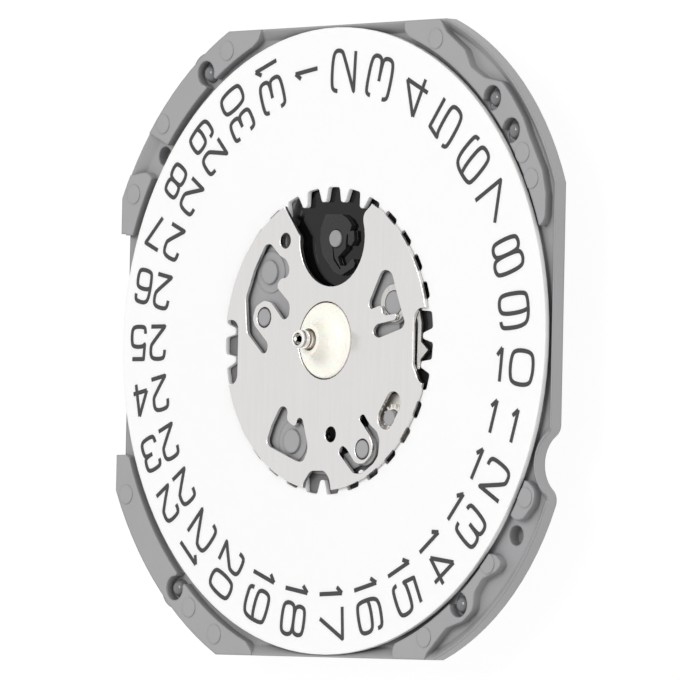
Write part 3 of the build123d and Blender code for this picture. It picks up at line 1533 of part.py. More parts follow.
# Keyless work: the clutch wheel slides on the stem's axis, moved by the setting lever and the
# yoke, while the stop lever brakes the train.
clutch_bore_half = 0.30
clutch_groove_radius = 0.42
clutch_groove_start = 0.75
clutch_groove_length = 0.26
clutch_tooth_depth = 0.16
clutch_teeth = 12
clutch_tooth_width = 0.14
clutch_plane = Plane(origin=(clutch_start, 0, stem_level), x_dir=(0, 1, 0), z_dir=(1, 0, 0))
with BuildPart() as clutch_wheel:
    with BuildSketch(clutch_plane):
        Circle(clutch_radius)
    extrude(amount=clutch_length)
    with BuildSketch(clutch_plane.offset(clutch_groove_start)):
        Circle(clutch_radius)
        Circle(clutch_groove_radius, mode=Mode.SUBTRACT)
    extrude(amount=clutch_groove_length, mode=Mode.SUBTRACT)
    with BuildSketch(clutch_plane):
        with PolarLocations(clutch_radius, clutch_teeth):
            Rectangle(2 * (clutch_radius - clutch_groove_radius), clutch_tooth_width)
    extrude(amount=clutch_tooth_depth, mode=Mode.SUBTRACT)
    with BuildSketch(clutch_plane):
        Rectangle(2 * clutch_bore_half, 2 * clutch_bore_half)
    extrude(amount=clutch_length, mode=Mode.SUBTRACT)
clutch_wheel.part.label = "clutch_wheel"

lever_thickness = 0.14
lever_half = 0.26
lever_lift = 0.40
lever_bottom = plate_floor + lever_lift
lever_nose_share = (0.826, 0.076)
lever_beak_share = (0.674, 0.168)
lever_nose = placed(lever_nose_share, lower_flat_x)
lever_beak = placed(lever_beak_share, lower_flat_x)
lever_pin_radius = 0.16
lever_pin_top = stem_level
with BuildPart() as setting_lever:
    with BuildSketch(Plane.XY.offset(lever_bottom)):
        with Locations(lever_axis):
            Circle(2 * lever_stud_radius)
        add(bar(lever_axis, lever_nose, lever_half))
        add(bar(lever_axis, lever_beak, lever_half))
        with Locations(lever_axis):
            Circle(lever_stud_radius + running_clearance, mode=Mode.SUBTRACT)
    extrude(amount=lever_thickness)
    with BuildSketch(Plane.XY.offset(lever_bottom)):
        with Locations(lever_nose):
            Circle(lever_pin_radius)
    extrude(amount=lever_pin_top - lever_bottom)
setting_lever.part.label = "setting_lever"

yoke_step = 0.18
yoke_bottom = lever_bottom - yoke_step
yoke_pin = (clutch_start + clutch_groove_start + clutch_groove_length / 2, 0)
yoke_tail_share = (0.685, -0.098)
yoke_tail = placed(yoke_tail_share, lower_flat_x)
yoke_pin_radius = 0.08
yoke_pin_top = stem_level - clutch_groove_radius - face_clearance
with BuildPart() as yoke:
    with BuildSketch(Plane.XY.offset(yoke_bottom)):
        with Locations(yoke_axis):
            Circle(2 * lever_stud_radius)
        add(bar(yoke_axis, yoke_tail, lever_half))
        add(bar(yoke_tail, yoke_pin, 2 * yoke_pin_radius))
        with Locations(yoke_axis):
            Circle(lever_stud_radius + running_clearance, mode=Mode.SUBTRACT)
    extrude(amount=lever_thickness)
    with BuildSketch(Plane.XY.offset(yoke_bottom)):
        with Locations(yoke_pin):
            Circle(yoke_pin_radius)
    extrude(amount=yoke_pin_top - yoke_bottom)
yoke.part.label = "yoke"

stop_half = 0.13
stop_bottom = plate_floor + face_clearance
with BuildPart() as stop_lever:
    with BuildSketch(Plane.XY.offset(stop_bottom)):
        with Locations(stop_axis):
            Circle(2 * lever_stud_radius)
        add(bar(stop_axis, stop_bend, stop_half))
        add(bar(stop_bend, stop_tip, stop_half))
        with Locations(stop_axis):
            Circle(lever_stud_radius + running_clearance, mode=Mode.SUBTRACT)
    extrude(amount=lever_thickness)
stop_lever.part.label = "stop_lever"

keyless_thickness = 0.14
keyless_rounding = 0.30
keyless_head_radius = 0.45
keyless_shares = (
    (0.467, 0.424), (0.772, 0.429), (0.772, 0.527), (0.886, 0.527), (0.891, -0.174), (0.826, -0.359),
    (0.674, -0.391), (0.652, -0.196), (0.467, -0.152),
)
with BuildPart() as keyless_cover:
    with BuildSketch(Plane.XY.offset(plate_floor - keyless_thickness)):
        add(window(scaled(keyless_shares, lower_flat_x), keyless_rounding))
        with Locations(*keyless_screw_places):
            Circle(screw_shank_radius + running_clearance, mode=Mode.SUBTRACT)
    extrude(amount=keyless_thickness)
keyless_cover.part.label = "keyless_cover"

with BuildPart() as keyless_screw:
    for place in keyless_screw_places:
        with BuildSketch(turned_plane(place)):
            add(
                screw_profile(
                    plate_floor - keyless_thickness - screw_head_height + face_clearance / 2,
                    plate_floor - keyless_thickness,
                    plate_floor + screw_hole_depth - pocket_clearance,
                    keyless_head_radius,
                )
            )
        revolve(axis=upright(place))
    with BuildSketch(Plane.XY.offset(bridge_bottom)):
        with Locations(*keyless_screw_places):
            Rectangle(4 * keyless_head_radius, screw_slot_width)
    extrude(amount=screw_slot_depth, mode=Mode.SUBTRACT)
keyless_screw.part.label = "keyless_screw"


# Back cover: thin film against the circuit and a sheet steel cover held by three screws.
cover_inset = 0.30
cover_radius = lower_radius - cover_inset
cover_left_x = lower_flat_x - cover_inset
cover_right_inset = 0.60
cover_right_x = lower_flat_x - cover_right_inset
cover_notch_gap = 0.17
cover_notch_radius = notch_lower_radius + cover_notch_gap
cover_opening_lip = 0.50
cover_opening_radius = battery_radius - cover_opening_lip
train_opening_radius = 1.90
train_opening_share = (0.018, -0.028)
train_opening_axis = placed(train_opening_share, lower_radius)
release_hole_radius = 0.45
coil_window_half = 1.40
coil_window_radius = 0.48
coil_window_step = polar(coil_window_half, coil_turn)
coil_window_start = (coil_axis[0] - coil_window_step[0], coil_axis[1] - coil_window_step[1])
coil_window_end = stepped(coil_axis, coil_window_step)
cover_screw_end = screw_hole_depth - screw_end_gap
cover_head_radius = 0.44
film_inset = 0.60
post_clearance = 0.08


def back_outline(inset):
    """Outline of the cover, moved inwards by an inset."""
    with BuildSketch() as face:
        Circle(cover_radius - inset)
        with Locations(((cover_right_x - cover_left_x) / 2, 0)):
            Rectangle(cover_left_x + cover_right_x - 2 * inset, 2 * cover_radius, mode=Mode.INTERSECT)
        with Locations(notch_axis):
            Circle(cover_notch_radius + inset, mode=Mode.SUBTRACT)
        with Locations(train_opening_axis):
            Circle(train_opening_radius, mode=Mode.SUBTRACT)
        with Locations(lever_axis):
            Circle(release_hole_radius, mode=Mode.SUBTRACT)
        add(bar(coil_window_start, coil_window_end, coil_window_radius), mode=Mode.SUBTRACT)
    return face.sketch


with BuildPart() as insulator_film:
    with BuildSketch(Plane.XY.offset(cover_thickness)):
        add(back_outline(film_inset))
        with Locations(battery_axis):
            Circle(battery_radius + battery_wall, mode=Mode.SUBTRACT)
        with Locations(*cover_screw_places):
            Circle(screw_head_radius + train_wall + post_clearance, mode=Mode.SUBTRACT)
    extrude(amount=film_thickness)
insulator_film.part.label = "insulator_film"

with BuildPart() as circuit_cover:
    with BuildSketch():
        add(back_outline(0))
        with Locations(battery_axis):
            Circle(cover_opening_radius, mode=Mode.SUBTRACT)
    extrude(amount=cover_thickness)
    for place in cover_screw_places:
        with BuildSketch(turned_plane(place)):
            add(
                outline(
                    (
                        (0, 0),
                        (cover_head_radius + running_clearance, 0),
                        (screw_shank_radius + running_clearance, cover_thickness),
                        (0, cover_thickness),
                    )
                )
            )
        revolve(axis=upright(place), mode=Mode.SUBTRACT)
circuit_cover.part.label = "circuit_cover"

cover_screw_inset = 0.01
with BuildPart() as cover_screws:
    for place in cover_screw_places:
        with BuildSketch(turned_plane(place)):
            add(
                outline(
                    (
                        (0, cover_screw_inset),
                        (cover_head_radius, cover_screw_inset),
                        (screw_shank_radius, cover_thickness),
                        (screw_shank_radius, cover_screw_end),
                        (0, cover_screw_end),
                    )
                )
            )
        revolve(axis=upright(place))
    with BuildSketch(Plane.XY.offset(cover_screw_inset)):
        with Locations(*cover_screw_places):
            Rectangle(4 * cover_head_radius, screw_slot_width)
    extrude(amount=screw_slot_depth, mode=Mode.SUBTRACT)
cover_screws.part.label = "cover_screws"


# Every piece goes to its own file, in the pose of the whole movement.
pieces = (
    main_plate, center_bush, date_wheel_post, stake_pins, date_ring, date_guard_plate, date_jumper,
    date_driving_wheel, date_corrector_wheel, hour_wheel, cannon_pinion, minute_wheel, setting_wheel,
    center_wheel, third_wheel, second_wheel, fifth_wheel, rotor_pinion, rotor_magnet, train_bridge,
    bridge_jewels, bridge_screws, stator, coil_core, coil_bobbin, coil_winding, coil_terminal_board,
    coil_screws, circuit_board, circuit_chip, quartz_crystal, battery_can, battery_gasket, battery_cap,
    battery_pellet, battery_contact, clutch_wheel, setting_lever, yoke, stop_lever, keyless_cover,
    keyless_screw, insulator_film, circuit_cover, cover_screws,
)
os.makedirs("parts", exist_ok=True)
for piece in pieces:
    export_step(piece.part, f"parts/{piece.part.label}.step")
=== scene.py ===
# Quartz watch movement with a white date ring, lying dial side up, in metres.
# The origin is under the hand axis on the back face, +X points to 3 o'clock and +Y to 12.

import math

import bpy
from mathutils import Matrix, Vector


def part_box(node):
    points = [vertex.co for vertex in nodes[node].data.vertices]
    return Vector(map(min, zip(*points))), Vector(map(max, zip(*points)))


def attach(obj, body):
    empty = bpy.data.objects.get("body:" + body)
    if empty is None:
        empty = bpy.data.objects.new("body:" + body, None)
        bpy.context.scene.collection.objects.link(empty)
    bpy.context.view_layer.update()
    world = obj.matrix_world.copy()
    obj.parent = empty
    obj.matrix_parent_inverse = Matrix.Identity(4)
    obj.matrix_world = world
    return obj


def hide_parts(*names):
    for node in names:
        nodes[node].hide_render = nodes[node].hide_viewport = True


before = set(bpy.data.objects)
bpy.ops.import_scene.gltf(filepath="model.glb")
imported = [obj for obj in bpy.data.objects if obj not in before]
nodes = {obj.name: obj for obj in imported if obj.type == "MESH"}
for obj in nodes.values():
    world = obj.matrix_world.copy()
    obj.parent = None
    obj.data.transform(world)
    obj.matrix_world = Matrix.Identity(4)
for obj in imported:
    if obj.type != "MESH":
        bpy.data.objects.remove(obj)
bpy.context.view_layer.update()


# The studio: the movement lies on a white card in a white tent, under one soft lamp that also
# shows as a highlight on what is rounded. A low lamp lights the walls that face the camera, which
# stands off past 3 o'clock and sees the dial side at a slant, as on a product photograph.
def surface_colour(text):
    """Linear colour from an sRGB hex text such as 9a9b9d."""
    channels = []
    for place in (0, 2, 4):
        value = int(text[place : place + 2], 16) / 255
        channels.append(value / 12.92 if value <= 0.04045 else ((value + 0.055) / 1.055) ** 2.4)
    return (*channels, 1.0)


def add_node(tree, kind, settings, inputs):
    """One node with its settings; an input is a value, or the output socket that feeds it."""
    made = tree.nodes.new(kind)
    for name, value in settings.items():
        setattr(made, name, value)
    for name, value in inputs.items():
        if isinstance(value, bpy.types.NodeSocket):
            tree.links.new(value, made.inputs[name])
        else:
            made.inputs[name].default_value = value
    return made


def seen_directly(tree):
    """1 for camera, glossy and transmission rays, and 0 for the light that falls on things."""
    rays = add_node(tree, "ShaderNodeLightPath", {}, {})
    mirrored = add_node(
        tree,
        "ShaderNodeMath",
        {"operation": "MAXIMUM"},
        {0: rays.outputs["Is Camera Ray"], 1: rays.outputs["Is Glossy Ray"]},
    )
    return add_node(
        tree,
        "ShaderNodeMath",
        {"operation": "MAXIMUM"},
        {0: mirrored.outputs[0], 1: rays.outputs["Is Transmission Ray"]},
    ).outputs[0]


scene = bpy.context.scene
scene.view_settings.view_transform = "Standard"

# The tent: white to the eye, and dimmer as a light, so that pale plastic keeps its tone.
tent_light = 0.63
tent = bpy.data.worlds.new("white_tent")
tent.use_nodes = True
tent_tree = tent.node_tree
tent_tree.nodes.clear()
tent_glow = add_node(
    tent_tree, "ShaderNodeBackground", {}, {"Color": surface_colour("ffffff"), "Strength": tent_light}
)
tent_backdrop = add_node(
    tent_tree, "ShaderNodeBackground", {}, {"Color": surface_colour("ffffff"), "Strength": 1.0}
)
tent_mix = add_node(
    tent_tree,
    "ShaderNodeMixShader",
    {},
    {0: seen_directly(tent_tree), 1: tent_glow.outputs[0], 2: tent_backdrop.outputs[0]},
)
add_node(tent_tree, "ShaderNodeOutputWorld", {}, {"Surface": tent_mix.outputs[0]})
scene.world = tent

# The card: matt white paper. To the eye it is almost white, with a faint shadow of the movement.
card_half = 0.40
card_brightness = 0.95
card_mesh = bpy.data.meshes.new("white_card")
card_mesh.from_pydata(
    [
        (-card_half, -card_half, 0),
        (card_half, -card_half, 0),
        (card_half, card_half, 0),
        (-card_half, card_half, 0),
    ],
    [],
    [(0, 1, 2, 3)],
)
card = bpy.data.objects.new("white_card", card_mesh)
scene.collection.objects.link(card)
card_finish = bpy.data.materials.new("white_card_paper")
card_finish.use_nodes = True
card_tree = card_finish.node_tree
card_tree.nodes.clear()
card_paper = add_node(card_tree, "ShaderNodeBsdfDiffuse", {}, {"Color": surface_colour("eeeeee")})
card_shade = add_node(card_tree, "ShaderNodeBsdfDiffuse", {}, {"Color": surface_colour("4c4c4c")})
card_glow = add_node(
    card_tree, "ShaderNodeEmission", {}, {"Color": surface_colour("ffffff"), "Strength": card_brightness}
)
card_seen = add_node(
    card_tree, "ShaderNodeAddShader", {}, {0: card_shade.outputs[0], 1: card_glow.outputs[0]}
)
card_mix = add_node(
    card_tree,
    "ShaderNodeMixShader",
    {},
    {0: seen_directly(card_tree), 1: card_paper.outputs[0], 2: card_seen.outputs[0]},
)
add_node(card_tree, "ShaderNodeOutputMaterial", {}, {"Surface": card_mix.outputs[0]})
card_mesh.materials.append(card_finish)

# Each lamp is a round soft box that faces the movement: its name, place, width and power.
lamps = (
    ("soft_overhead_lamp", (0.06, 0.16, 0.50), 0.24, 1.10),
    ("low_front_lamp", (0.34, -0.05, 0.14), 0.22, 0.22),
)
for lamp_name, lamp_place, lamp_width, lamp_power in lamps:
    lamp_data = bpy.data.lights.new(lamp_name, "AREA")
    lamp_data.shape = "DISK"
    lamp_data.size = lamp_width
    lamp_data.energy = lamp_power
    lamp = bpy.data.objects.new(lamp_name, lamp_data)
    lamp.location = lamp_place
    lamp.rotation_euler = Vector(lamp_place).to_track_quat("Z", "Y").to_euler()
    scene.collection.objects.link(lamp)

# The camera: its place and its two directions were fitted to marks on the photographed piece.
millimetre = 0.001
camera_place = (225.39 * millimetre, -10.68 * millimetre, 207.68 * millimetre)
picture_right = (0.6736, 0.0208, -0.7388)
picture_back = (0.738996, -0.035172, 0.672792)
sensor_width = 36.0
focal_length = 421.72
nearest_seen = 0.01
farthest_seen = 5.0
camera_data = bpy.data.cameras.new("slanted_view")
camera_data.sensor_width = sensor_width
camera_data.lens = focal_length
camera_data.clip_start = nearest_seen
camera_data.clip_end = farthest_seen
camera = bpy.data.objects.new("slanted_view", camera_data)
camera_back = Vector(picture_back).normalized()
camera_up = camera_back.cross(Vector(picture_right).normalized()).normalized()
camera_right = camera_up.cross(camera_back)
camera.matrix_world = Matrix(
    (
        (camera_right.x, camera_up.x, camera_back.x, camera_place[0]),
        (camera_right.y, camera_up.y, camera_back.y, camera_place[1]),
        (camera_right.z, camera_up.z, camera_back.z, camera_place[2]),
        (0, 0, 0, 1),
    )
)
scene.collection.objects.link(camera)
scene.camera = camera


# The main plate: one injection moulding in grey glass-filled plastic. Its skin is satin, with a
# fine spark grain from the mould and a faint cloudiness where the melt flowed. The posts and
# pins that hold the guard are part of it, and under the ring's teeth it is painted near black as shade.
def round_zone(tree, place, centre, inner, outer, top, thin):
    """1 between two radii about an upright axis and below a level, 0 elsewhere, with soft borders.

    It thins out to a share of itself on its -X side, so that the painted shade it masks is fainter there.
    """
    radius_border = 0.04 * millimetre
    level_border = 0.01 * millimetre
    thinning_width = 3.5 * millimetre
    away = add_node(
        tree, "ShaderNodeVectorMath", {"operation": "SUBTRACT"}, {0: place, 1: (*centre, 0.0)}
    )
    flat = add_node(
        tree, "ShaderNodeVectorMath", {"operation": "MULTIPLY"}, {0: away.outputs[0], 1: (1.0, 1.0, 0.0)}
    )
    radius = add_node(tree, "ShaderNodeVectorMath", {"operation": "LENGTH"}, {0: flat.outputs[0]})
    split = add_node(tree, "ShaderNodeSeparateXYZ", {}, {"Vector": away.outputs[0]})
    past = add_node(
        tree,
        "ShaderNodeMapRange",
        {},
        {
            "Value": radius.outputs["Value"],
            "From Min": inner - radius_border,
            "From Max": inner + radius_border,
        },
    )
    within = add_node(
        tree,
        "ShaderNodeMapRange",
        {},
        {
            "Value": radius.outputs["Value"],
            "From Min": outer + radius_border,
            "From Max": outer - radius_border,
        },
    )
    below = add_node(
        tree,
        "ShaderNodeMapRange",
        {},
        {
            "Value": split.outputs["Z"],
            "From Min": top + level_border,
            "From Max": top - level_border,
        },
    )
    strength = add_node(
        tree,
        "ShaderNodeMapRange",
        {},
        {"Value": split.outputs["X"], "From Min": 0.0, "From Max": thinning_width, "To Min": thin},
    )
    ring = add_node(
        tree, "ShaderNodeMath", {"operation": "MULTIPLY"}, {0: past.outputs[0], 1: within.outputs[0]}
    )
    low_ring = add_node(
        tree, "ShaderNodeMath", {"operation": "MULTIPLY"}, {0: ring.outputs[0], 1: below.outputs[0]}
    )
    return add_node(
        tree, "ShaderNodeMath", {"operation": "MULTIPLY"}, {0: low_ring.outputs[0], 1: strength.outputs[0]}
    ).outputs[0]


def moulded_plastic(
    name,
    pale,
    deep,
    painted_corner_shade,
    cloud_size,
    grain_size,
    grain_height,
    sheen_low,
    sheen_high,
    edge_size,
    glow=0.0,
    mirror=1.49,
    painted_shade_zone=None,
):
    """Moulded plastic: flow clouds, mould grain, soft moulded edges, and painted shade in the inner
    corners.

    The two sheens are roughnesses, glow is the light that gets under the skin, and mirror is the
    IOR. A shade region, where given, holds what round_zone takes, and the painted shade's colour and the
    roughness inside it.
    """
    finish = bpy.data.materials.new(name)
    finish.use_nodes = True
    tree = finish.node_tree
    tree.nodes.clear()
    place = add_node(tree, "ShaderNodeTexCoord", {}, {}).outputs["Object"]
    cloud = add_node(
        tree,
        "ShaderNodeTexNoise",
        {},
        {"Vector": place, "Scale": 1 / cloud_size, "Detail": 4.0, "Roughness": 0.55},
    )
    grain = add_node(
        tree,
        "ShaderNodeTexNoise",
        {},
        {"Vector": place, "Scale": 1 / grain_size, "Detail": 2.0, "Roughness": 0.5},
    )
    tone = add_node(
        tree,
        "ShaderNodeMix",
        {"data_type": "RGBA"},
        {"Factor": cloud.outputs["Fac"], 6: surface_colour(deep), 7: surface_colour(pale)},
    )
    sheen = add_node(
        tree,
        "ShaderNodeMapRange",
        {},
        {
            "Value": grain.outputs["Fac"],
            "From Min": 0.3,
            "From Max": 0.7,
            "To Min": sheen_low,
            "To Max": sheen_high,
        },
    )
    # Painted shade: where ambient occlusion finds the surface closed in, the colour goes over to the dark
    # tone given for the corners.
    openness = add_node(
        tree, "ShaderNodeAmbientOcclusion", {"samples": 6}, {"Distance": 0.7 * millimetre}
    )
    lit = add_node(
        tree,
        "ShaderNodeMapRange",
        {},
        {"Value": openness.outputs["AO"], "From Min": 0.02, "From Max": 0.70},
    )
    eased = add_node(tree, "ShaderNodeMath", {"operation": "SQRT"}, {0: lit.outputs[0]})
    shaded = add_node(
        tree,
        "ShaderNodeMix",
        {"data_type": "RGBA"},
        {"Factor": eased.outputs[0], 6: surface_colour(painted_corner_shade), 7: tone.outputs[2]},
    )
    colour = shaded.outputs[2]
    roughness = sheen.outputs[0]
    if painted_shade_zone:
        inside = round_zone(
            tree, place, painted_shade_zone["centre"], painted_shade_zone["inner"], painted_shade_zone["outer"], painted_shade_zone["top"], painted_shade_zone["thin"]
        )
        colour = add_node(
            tree,
            "ShaderNodeMix",
            {"data_type": "RGBA"},
            {"Factor": inside, 6: colour, 7: surface_colour(painted_shade_zone["colour"])},
        ).outputs[2]
        roughness = add_node(
            tree,
            "ShaderNodeMix",
            {"data_type": "FLOAT"},
            {"Factor": inside, 2: roughness, 3: painted_shade_zone["roughness"]},
        ).outputs[0]
    edge = add_node(tree, "ShaderNodeBevel", {"samples": 6}, {"Radius": edge_size})
    relief = add_node(
        tree,
        "ShaderNodeBump",
        {},
        {
            "Strength": 0.6,
            "Distance": grain_height,
            "Height": grain.outputs["Fac"],
            "Normal": edge.outputs["Normal"],
        },
    )
    skin = add_node(
        tree,
        "ShaderNodeBsdfPrincipled",
        {},
        {
            "Base Color": colour,
            "Roughness": roughness,
            "IOR": mirror,
            "Subsurface Weight": glow,
            "Subsurface Radius": (1.0, 1.0, 1.0),
            "Subsurface Scale": 0.15 * millimetre,
            "Normal": relief.outputs["Normal"],
        },
    )
    add_node(tree, "ShaderNodeOutputMaterial", {}, {"Surface": skin.outputs[0]})
    return finish


def dress(finish, *names):
    """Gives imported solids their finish."""
    for name in names:
        nodes[name].data.materials.clear()
        nodes[name].data.materials.append(finish)


# Satin grey, darkened in its corners as painted shade, with a band under the teeth painted black as shade
# and made glossier.
micron = 0.001 * millimetre
ring_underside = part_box("date_ring")[0].z
plate_plastic = moulded_plastic(
    "satin_grey_moulding",
    pale="a5a5a6",
    deep="98989a",
    painted_corner_shade="222224",
    cloud_size=3.0 * millimetre,
    grain_size=0.05 * millimetre,
    grain_height=1.5 * micron,
    sheen_low=0.34,
    sheen_high=0.50,
    edge_size=0.13 * millimetre,
    # Painted shade: near black under the ring's teeth, below the ring, and weaker on the -X side.
    painted_shade_zone={
        "centre": (0.0, 0.0),
        "inner": 5.00 * millimetre,
        "outer": 5.97 * millimetre,
        "top": ring_underside,
        "thin": 0.55,
        "colour": "262425",
        "roughness": 0.2,
    },
)
dress(plate_plastic, "main_plate")


# The stake pins: short grey plastic pins in the pits of the rim, melted down to round heads.
# The hot punch leaves them glossy and darker than the plate, so each shows one bright spot.
stake_plastic = moulded_plastic(
    "glossy_grey_stake_plastic",
    pale="7a7b7c",
    deep="6b6c6e",
    painted_corner_shade="2a2a2c",
    cloud_size=0.5 * millimetre,
    grain_size=0.05 * millimetre,
    grain_height=0.5 * micron,
    sheen_low=0.10,
    sheen_high=0.16,
    edge_size=0.02 * millimetre,
)
dress(stake_plastic, "stake_pins")


# The date ring: thin white plastic, stamped and printed, with 31 teeth on its inner edge. Its
# face is smooth and a little glossy, and the light gets a short way into its edges, which
# therefore look white and soft.
ring_plastic = moulded_plastic(
    "smooth_white_ring_plastic",
    pale="fcfcfb",
    deep="fafaf9",
    painted_corner_shade="e9e9e8",
    cloud_size=4.0 * millimetre,
    grain_size=0.08 * millimetre,
    grain_height=0.4 * micron,
    sheen_low=0.28,
    sheen_high=0.38,
    edge_size=0.02 * millimetre,
    glow=0.6,
)
dress(ring_plastic, "date_ring")


# The printed numbers, 1 to 31 around the ring in dark grey ink, upright at 3 o'clock. Each digit
# is drawn with one even stroke with round ends, wide where it stands alone and narrow in pairs,
# and lies a few microns proud of the plastic.
stroke_width = 0.168 * millimetre
ink_height = 0.006 * millimetre
digit_height = 1.27 * millimetre
ring_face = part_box("date_ring")[1].z
last_number = 31
number_step = 360 / last_number
first_number_angle = 98.5

# The strokes of each digit in shares of its width and height, and whether a stroke is closed.
loop = (
    (0.0, 0.30), (0.0, 0.72), (0.12, 1.0), (0.88, 1.0),
    (1.0, 0.72), (1.0, 0.30), (0.88, 0.0), (0.12, 0.0),
)
six = (
    (0.97, 0.78), (0.97, 0.94), (0.80, 1.0), (0.24, 1.0), (0.0, 0.84), (0.0, 0.12), (0.16, 0.0),
    (0.84, 0.0), (1.0, 0.12), (1.0, 0.46), (0.84, 0.58), (0.16, 0.58), (0.0, 0.50),
)
two = (
    (0.0, 0.72), (0.0, 0.92), (0.20, 1.0), (0.78, 1.0), (1.0, 0.90), (1.0, 0.62), (0.90, 0.52),
    (0.0, 0.0), (0.0, 0.0), (1.0, 0.0),
)
three_top = (
    (0.0, 0.78), (0.0, 0.94), (0.18, 1.0), (0.80, 1.0),
    (1.0, 0.90), (1.0, 0.60), (0.82, 0.52), (0.40, 0.52),
)
three_foot = (
    (0.40, 0.52), (0.84, 0.52), (1.0, 0.42), (1.0, 0.10),
    (0.80, 0.0), (0.18, 0.0), (0.0, 0.06), (0.0, 0.24),
)
five = (
    (0.94, 1.0), (0.10, 1.0), (0.10, 1.0), (0.04, 0.54), (0.04, 0.54), (0.18, 0.62), (0.82, 0.62),
    (1.0, 0.52), (1.0, 0.12), (0.82, 0.0), (0.18, 0.0), (0.0, 0.06), (0.0, 0.22),
)
eight_waist = 0.53
eight_inset = 0.05
eight_top = [
    (eight_inset + (1 - 2 * eight_inset) * x, eight_waist + (1 - eight_waist) * y) for x, y in loop
]
digit_strokes = {
    "0": [(loop, True)],
    "1": [(((1.0, 0.0), (1.0, 1.0)), False), (((1.0, 1.0), (0.0, 0.77)), False)],
    "2": [(two, False)],
    "3": [(three_top, False), (three_foot, False)],
    "4": [
        (((0.74, 0.0), (0.74, 1.0)), False),
        (((0.74, 1.0), (0.0, 0.27)), False),
        (((0.0, 0.27), (1.0, 0.27)), False),
    ],
    "5": [(five, False)],
    "6": [(six, False)],
    "7": [(((0.0, 1.0), (1.0, 1.0), (1.0, 1.0), (0.34, 0.0)), False)],
    "8": [(eight_top, True), ([(x, eight_waist * y) for x, y in loop], True)],
    "9": [([(1 - x, 1 - y) for x, y in six], False)],
}

# The columns that the digits of a number stand in, each with its inner end and its width along
# the ring's radius, in millimetres.
one_width = 0.24
lone_one_column = ((10.25, one_width),)
lone_digit_column = ((9.55, 1.55),)
eleven_columns = ((9.50, one_width), (10.71, one_width))
teen_columns = ((9.44, one_width), (10.20, 1.22))
final_one_columns = ((9.55, 1.20), (11.10, one_width))
pair_columns = ((9.50, 0.82), (10.66, 0.80))


def number_columns(text):
    """The columns for the digits of a number."""
    if len(text) == 1:
        return lone_one_column if text == "1" else lone_digit_column
    if text == "11":
        return eleven_columns
    if text[0] == "1":
        return teen_columns
    return final_one_columns if text[1] == "1" else pair_columns


ink_curve = bpy.data.curves.new("date_numbers", "CURVE")
ink_curve.dimensions = "3D"
ink_curve.bevel_depth = stroke_width / 2
ink_curve.bevel_resolution = 2
ink_curve.resolution_u = 6
ink_curve.use_fill_caps = True
for number in range(1, last_number + 1):
    angle = math.radians(first_number_angle - number_step * (number - 1))
    outward = Vector((math.cos(angle), math.sin(angle), 0))
    upright = Vector((-math.sin(angle), math.cos(angle), 0))
    for digit, (inner_end, width) in zip(str(number), number_columns(str(number))):
        for points, closed in digit_strokes[digit]:
            stroke = ink_curve.splines.new("NURBS")
            stroke.points.add(len(points) - 1)
            for point, (across, up) in zip(stroke.points, points):
                radius = (inner_end + across * width) * millimetre
                place = outward * radius + upright * digit_height * (up - 0.5)
                point.co = (*place, 1.0)
            stroke.order_u = 3 if len(points) > 2 else 2
            stroke.use_endpoint_u = not closed
            stroke.use_cyclic_u = closed
ink_object = bpy.data.objects.new("date_numbers_path", ink_curve)
scene.collection.objects.link(ink_object)
bpy.context.view_layer.update()
ink_mesh = bpy.data.meshes.new_from_object(
    ink_object.evaluated_get(bpy.context.evaluated_depsgraph_get())
)
bpy.data.objects.remove(ink_object)
ink_flattening = ink_height / (stroke_width / 2)
ink_mesh.transform(
    Matrix.Translation((0, 0, ring_face)) @ Matrix.Diagonal((1, 1, ink_flattening, 1))
)
date_numbers = bpy.data.objects.new("date_numbers", ink_mesh)
scene.collection.objects.link(date_numbers)

# Pad printing ink: near black, matt, with specks where the pad left it thinner.
ring_ink = bpy.data.materials.new("dark_grey_pad_printing_ink")
ring_ink.use_nodes = True
ink_tree = ring_ink.node_tree
ink_tree.nodes.clear()
ink_speck_size = 0.12 * millimetre
ink_place = add_node(ink_tree, "ShaderNodeTexCoord", {}, {}).outputs["Object"]
ink_speck = add_node(
    ink_tree, "ShaderNodeTexNoise", {}, {"Vector": ink_place, "Scale": 1 / ink_speck_size, "Detail": 3.0}
)
ink_tone = add_node(
    ink_tree,
    "ShaderNodeMix",
    {"data_type": "RGBA"},
    {"Factor": ink_speck.outputs["Fac"], 6: surface_colour("2c2c2e"), 7: surface_colour("363638")},
)
ink_skin = add_node(
    ink_tree, "ShaderNodeBsdfPrincipled", {}, {"Base Color": ink_tone.outputs[2], "Roughness": 0.5}
)
add_node(ink_tree, "ShaderNodeOutputMaterial", {}, {"Surface": ink_skin.outputs[0]})
ink_mesh.materials.clear()
ink_mesh.materials.append(ring_ink)
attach(date_numbers, "ring")


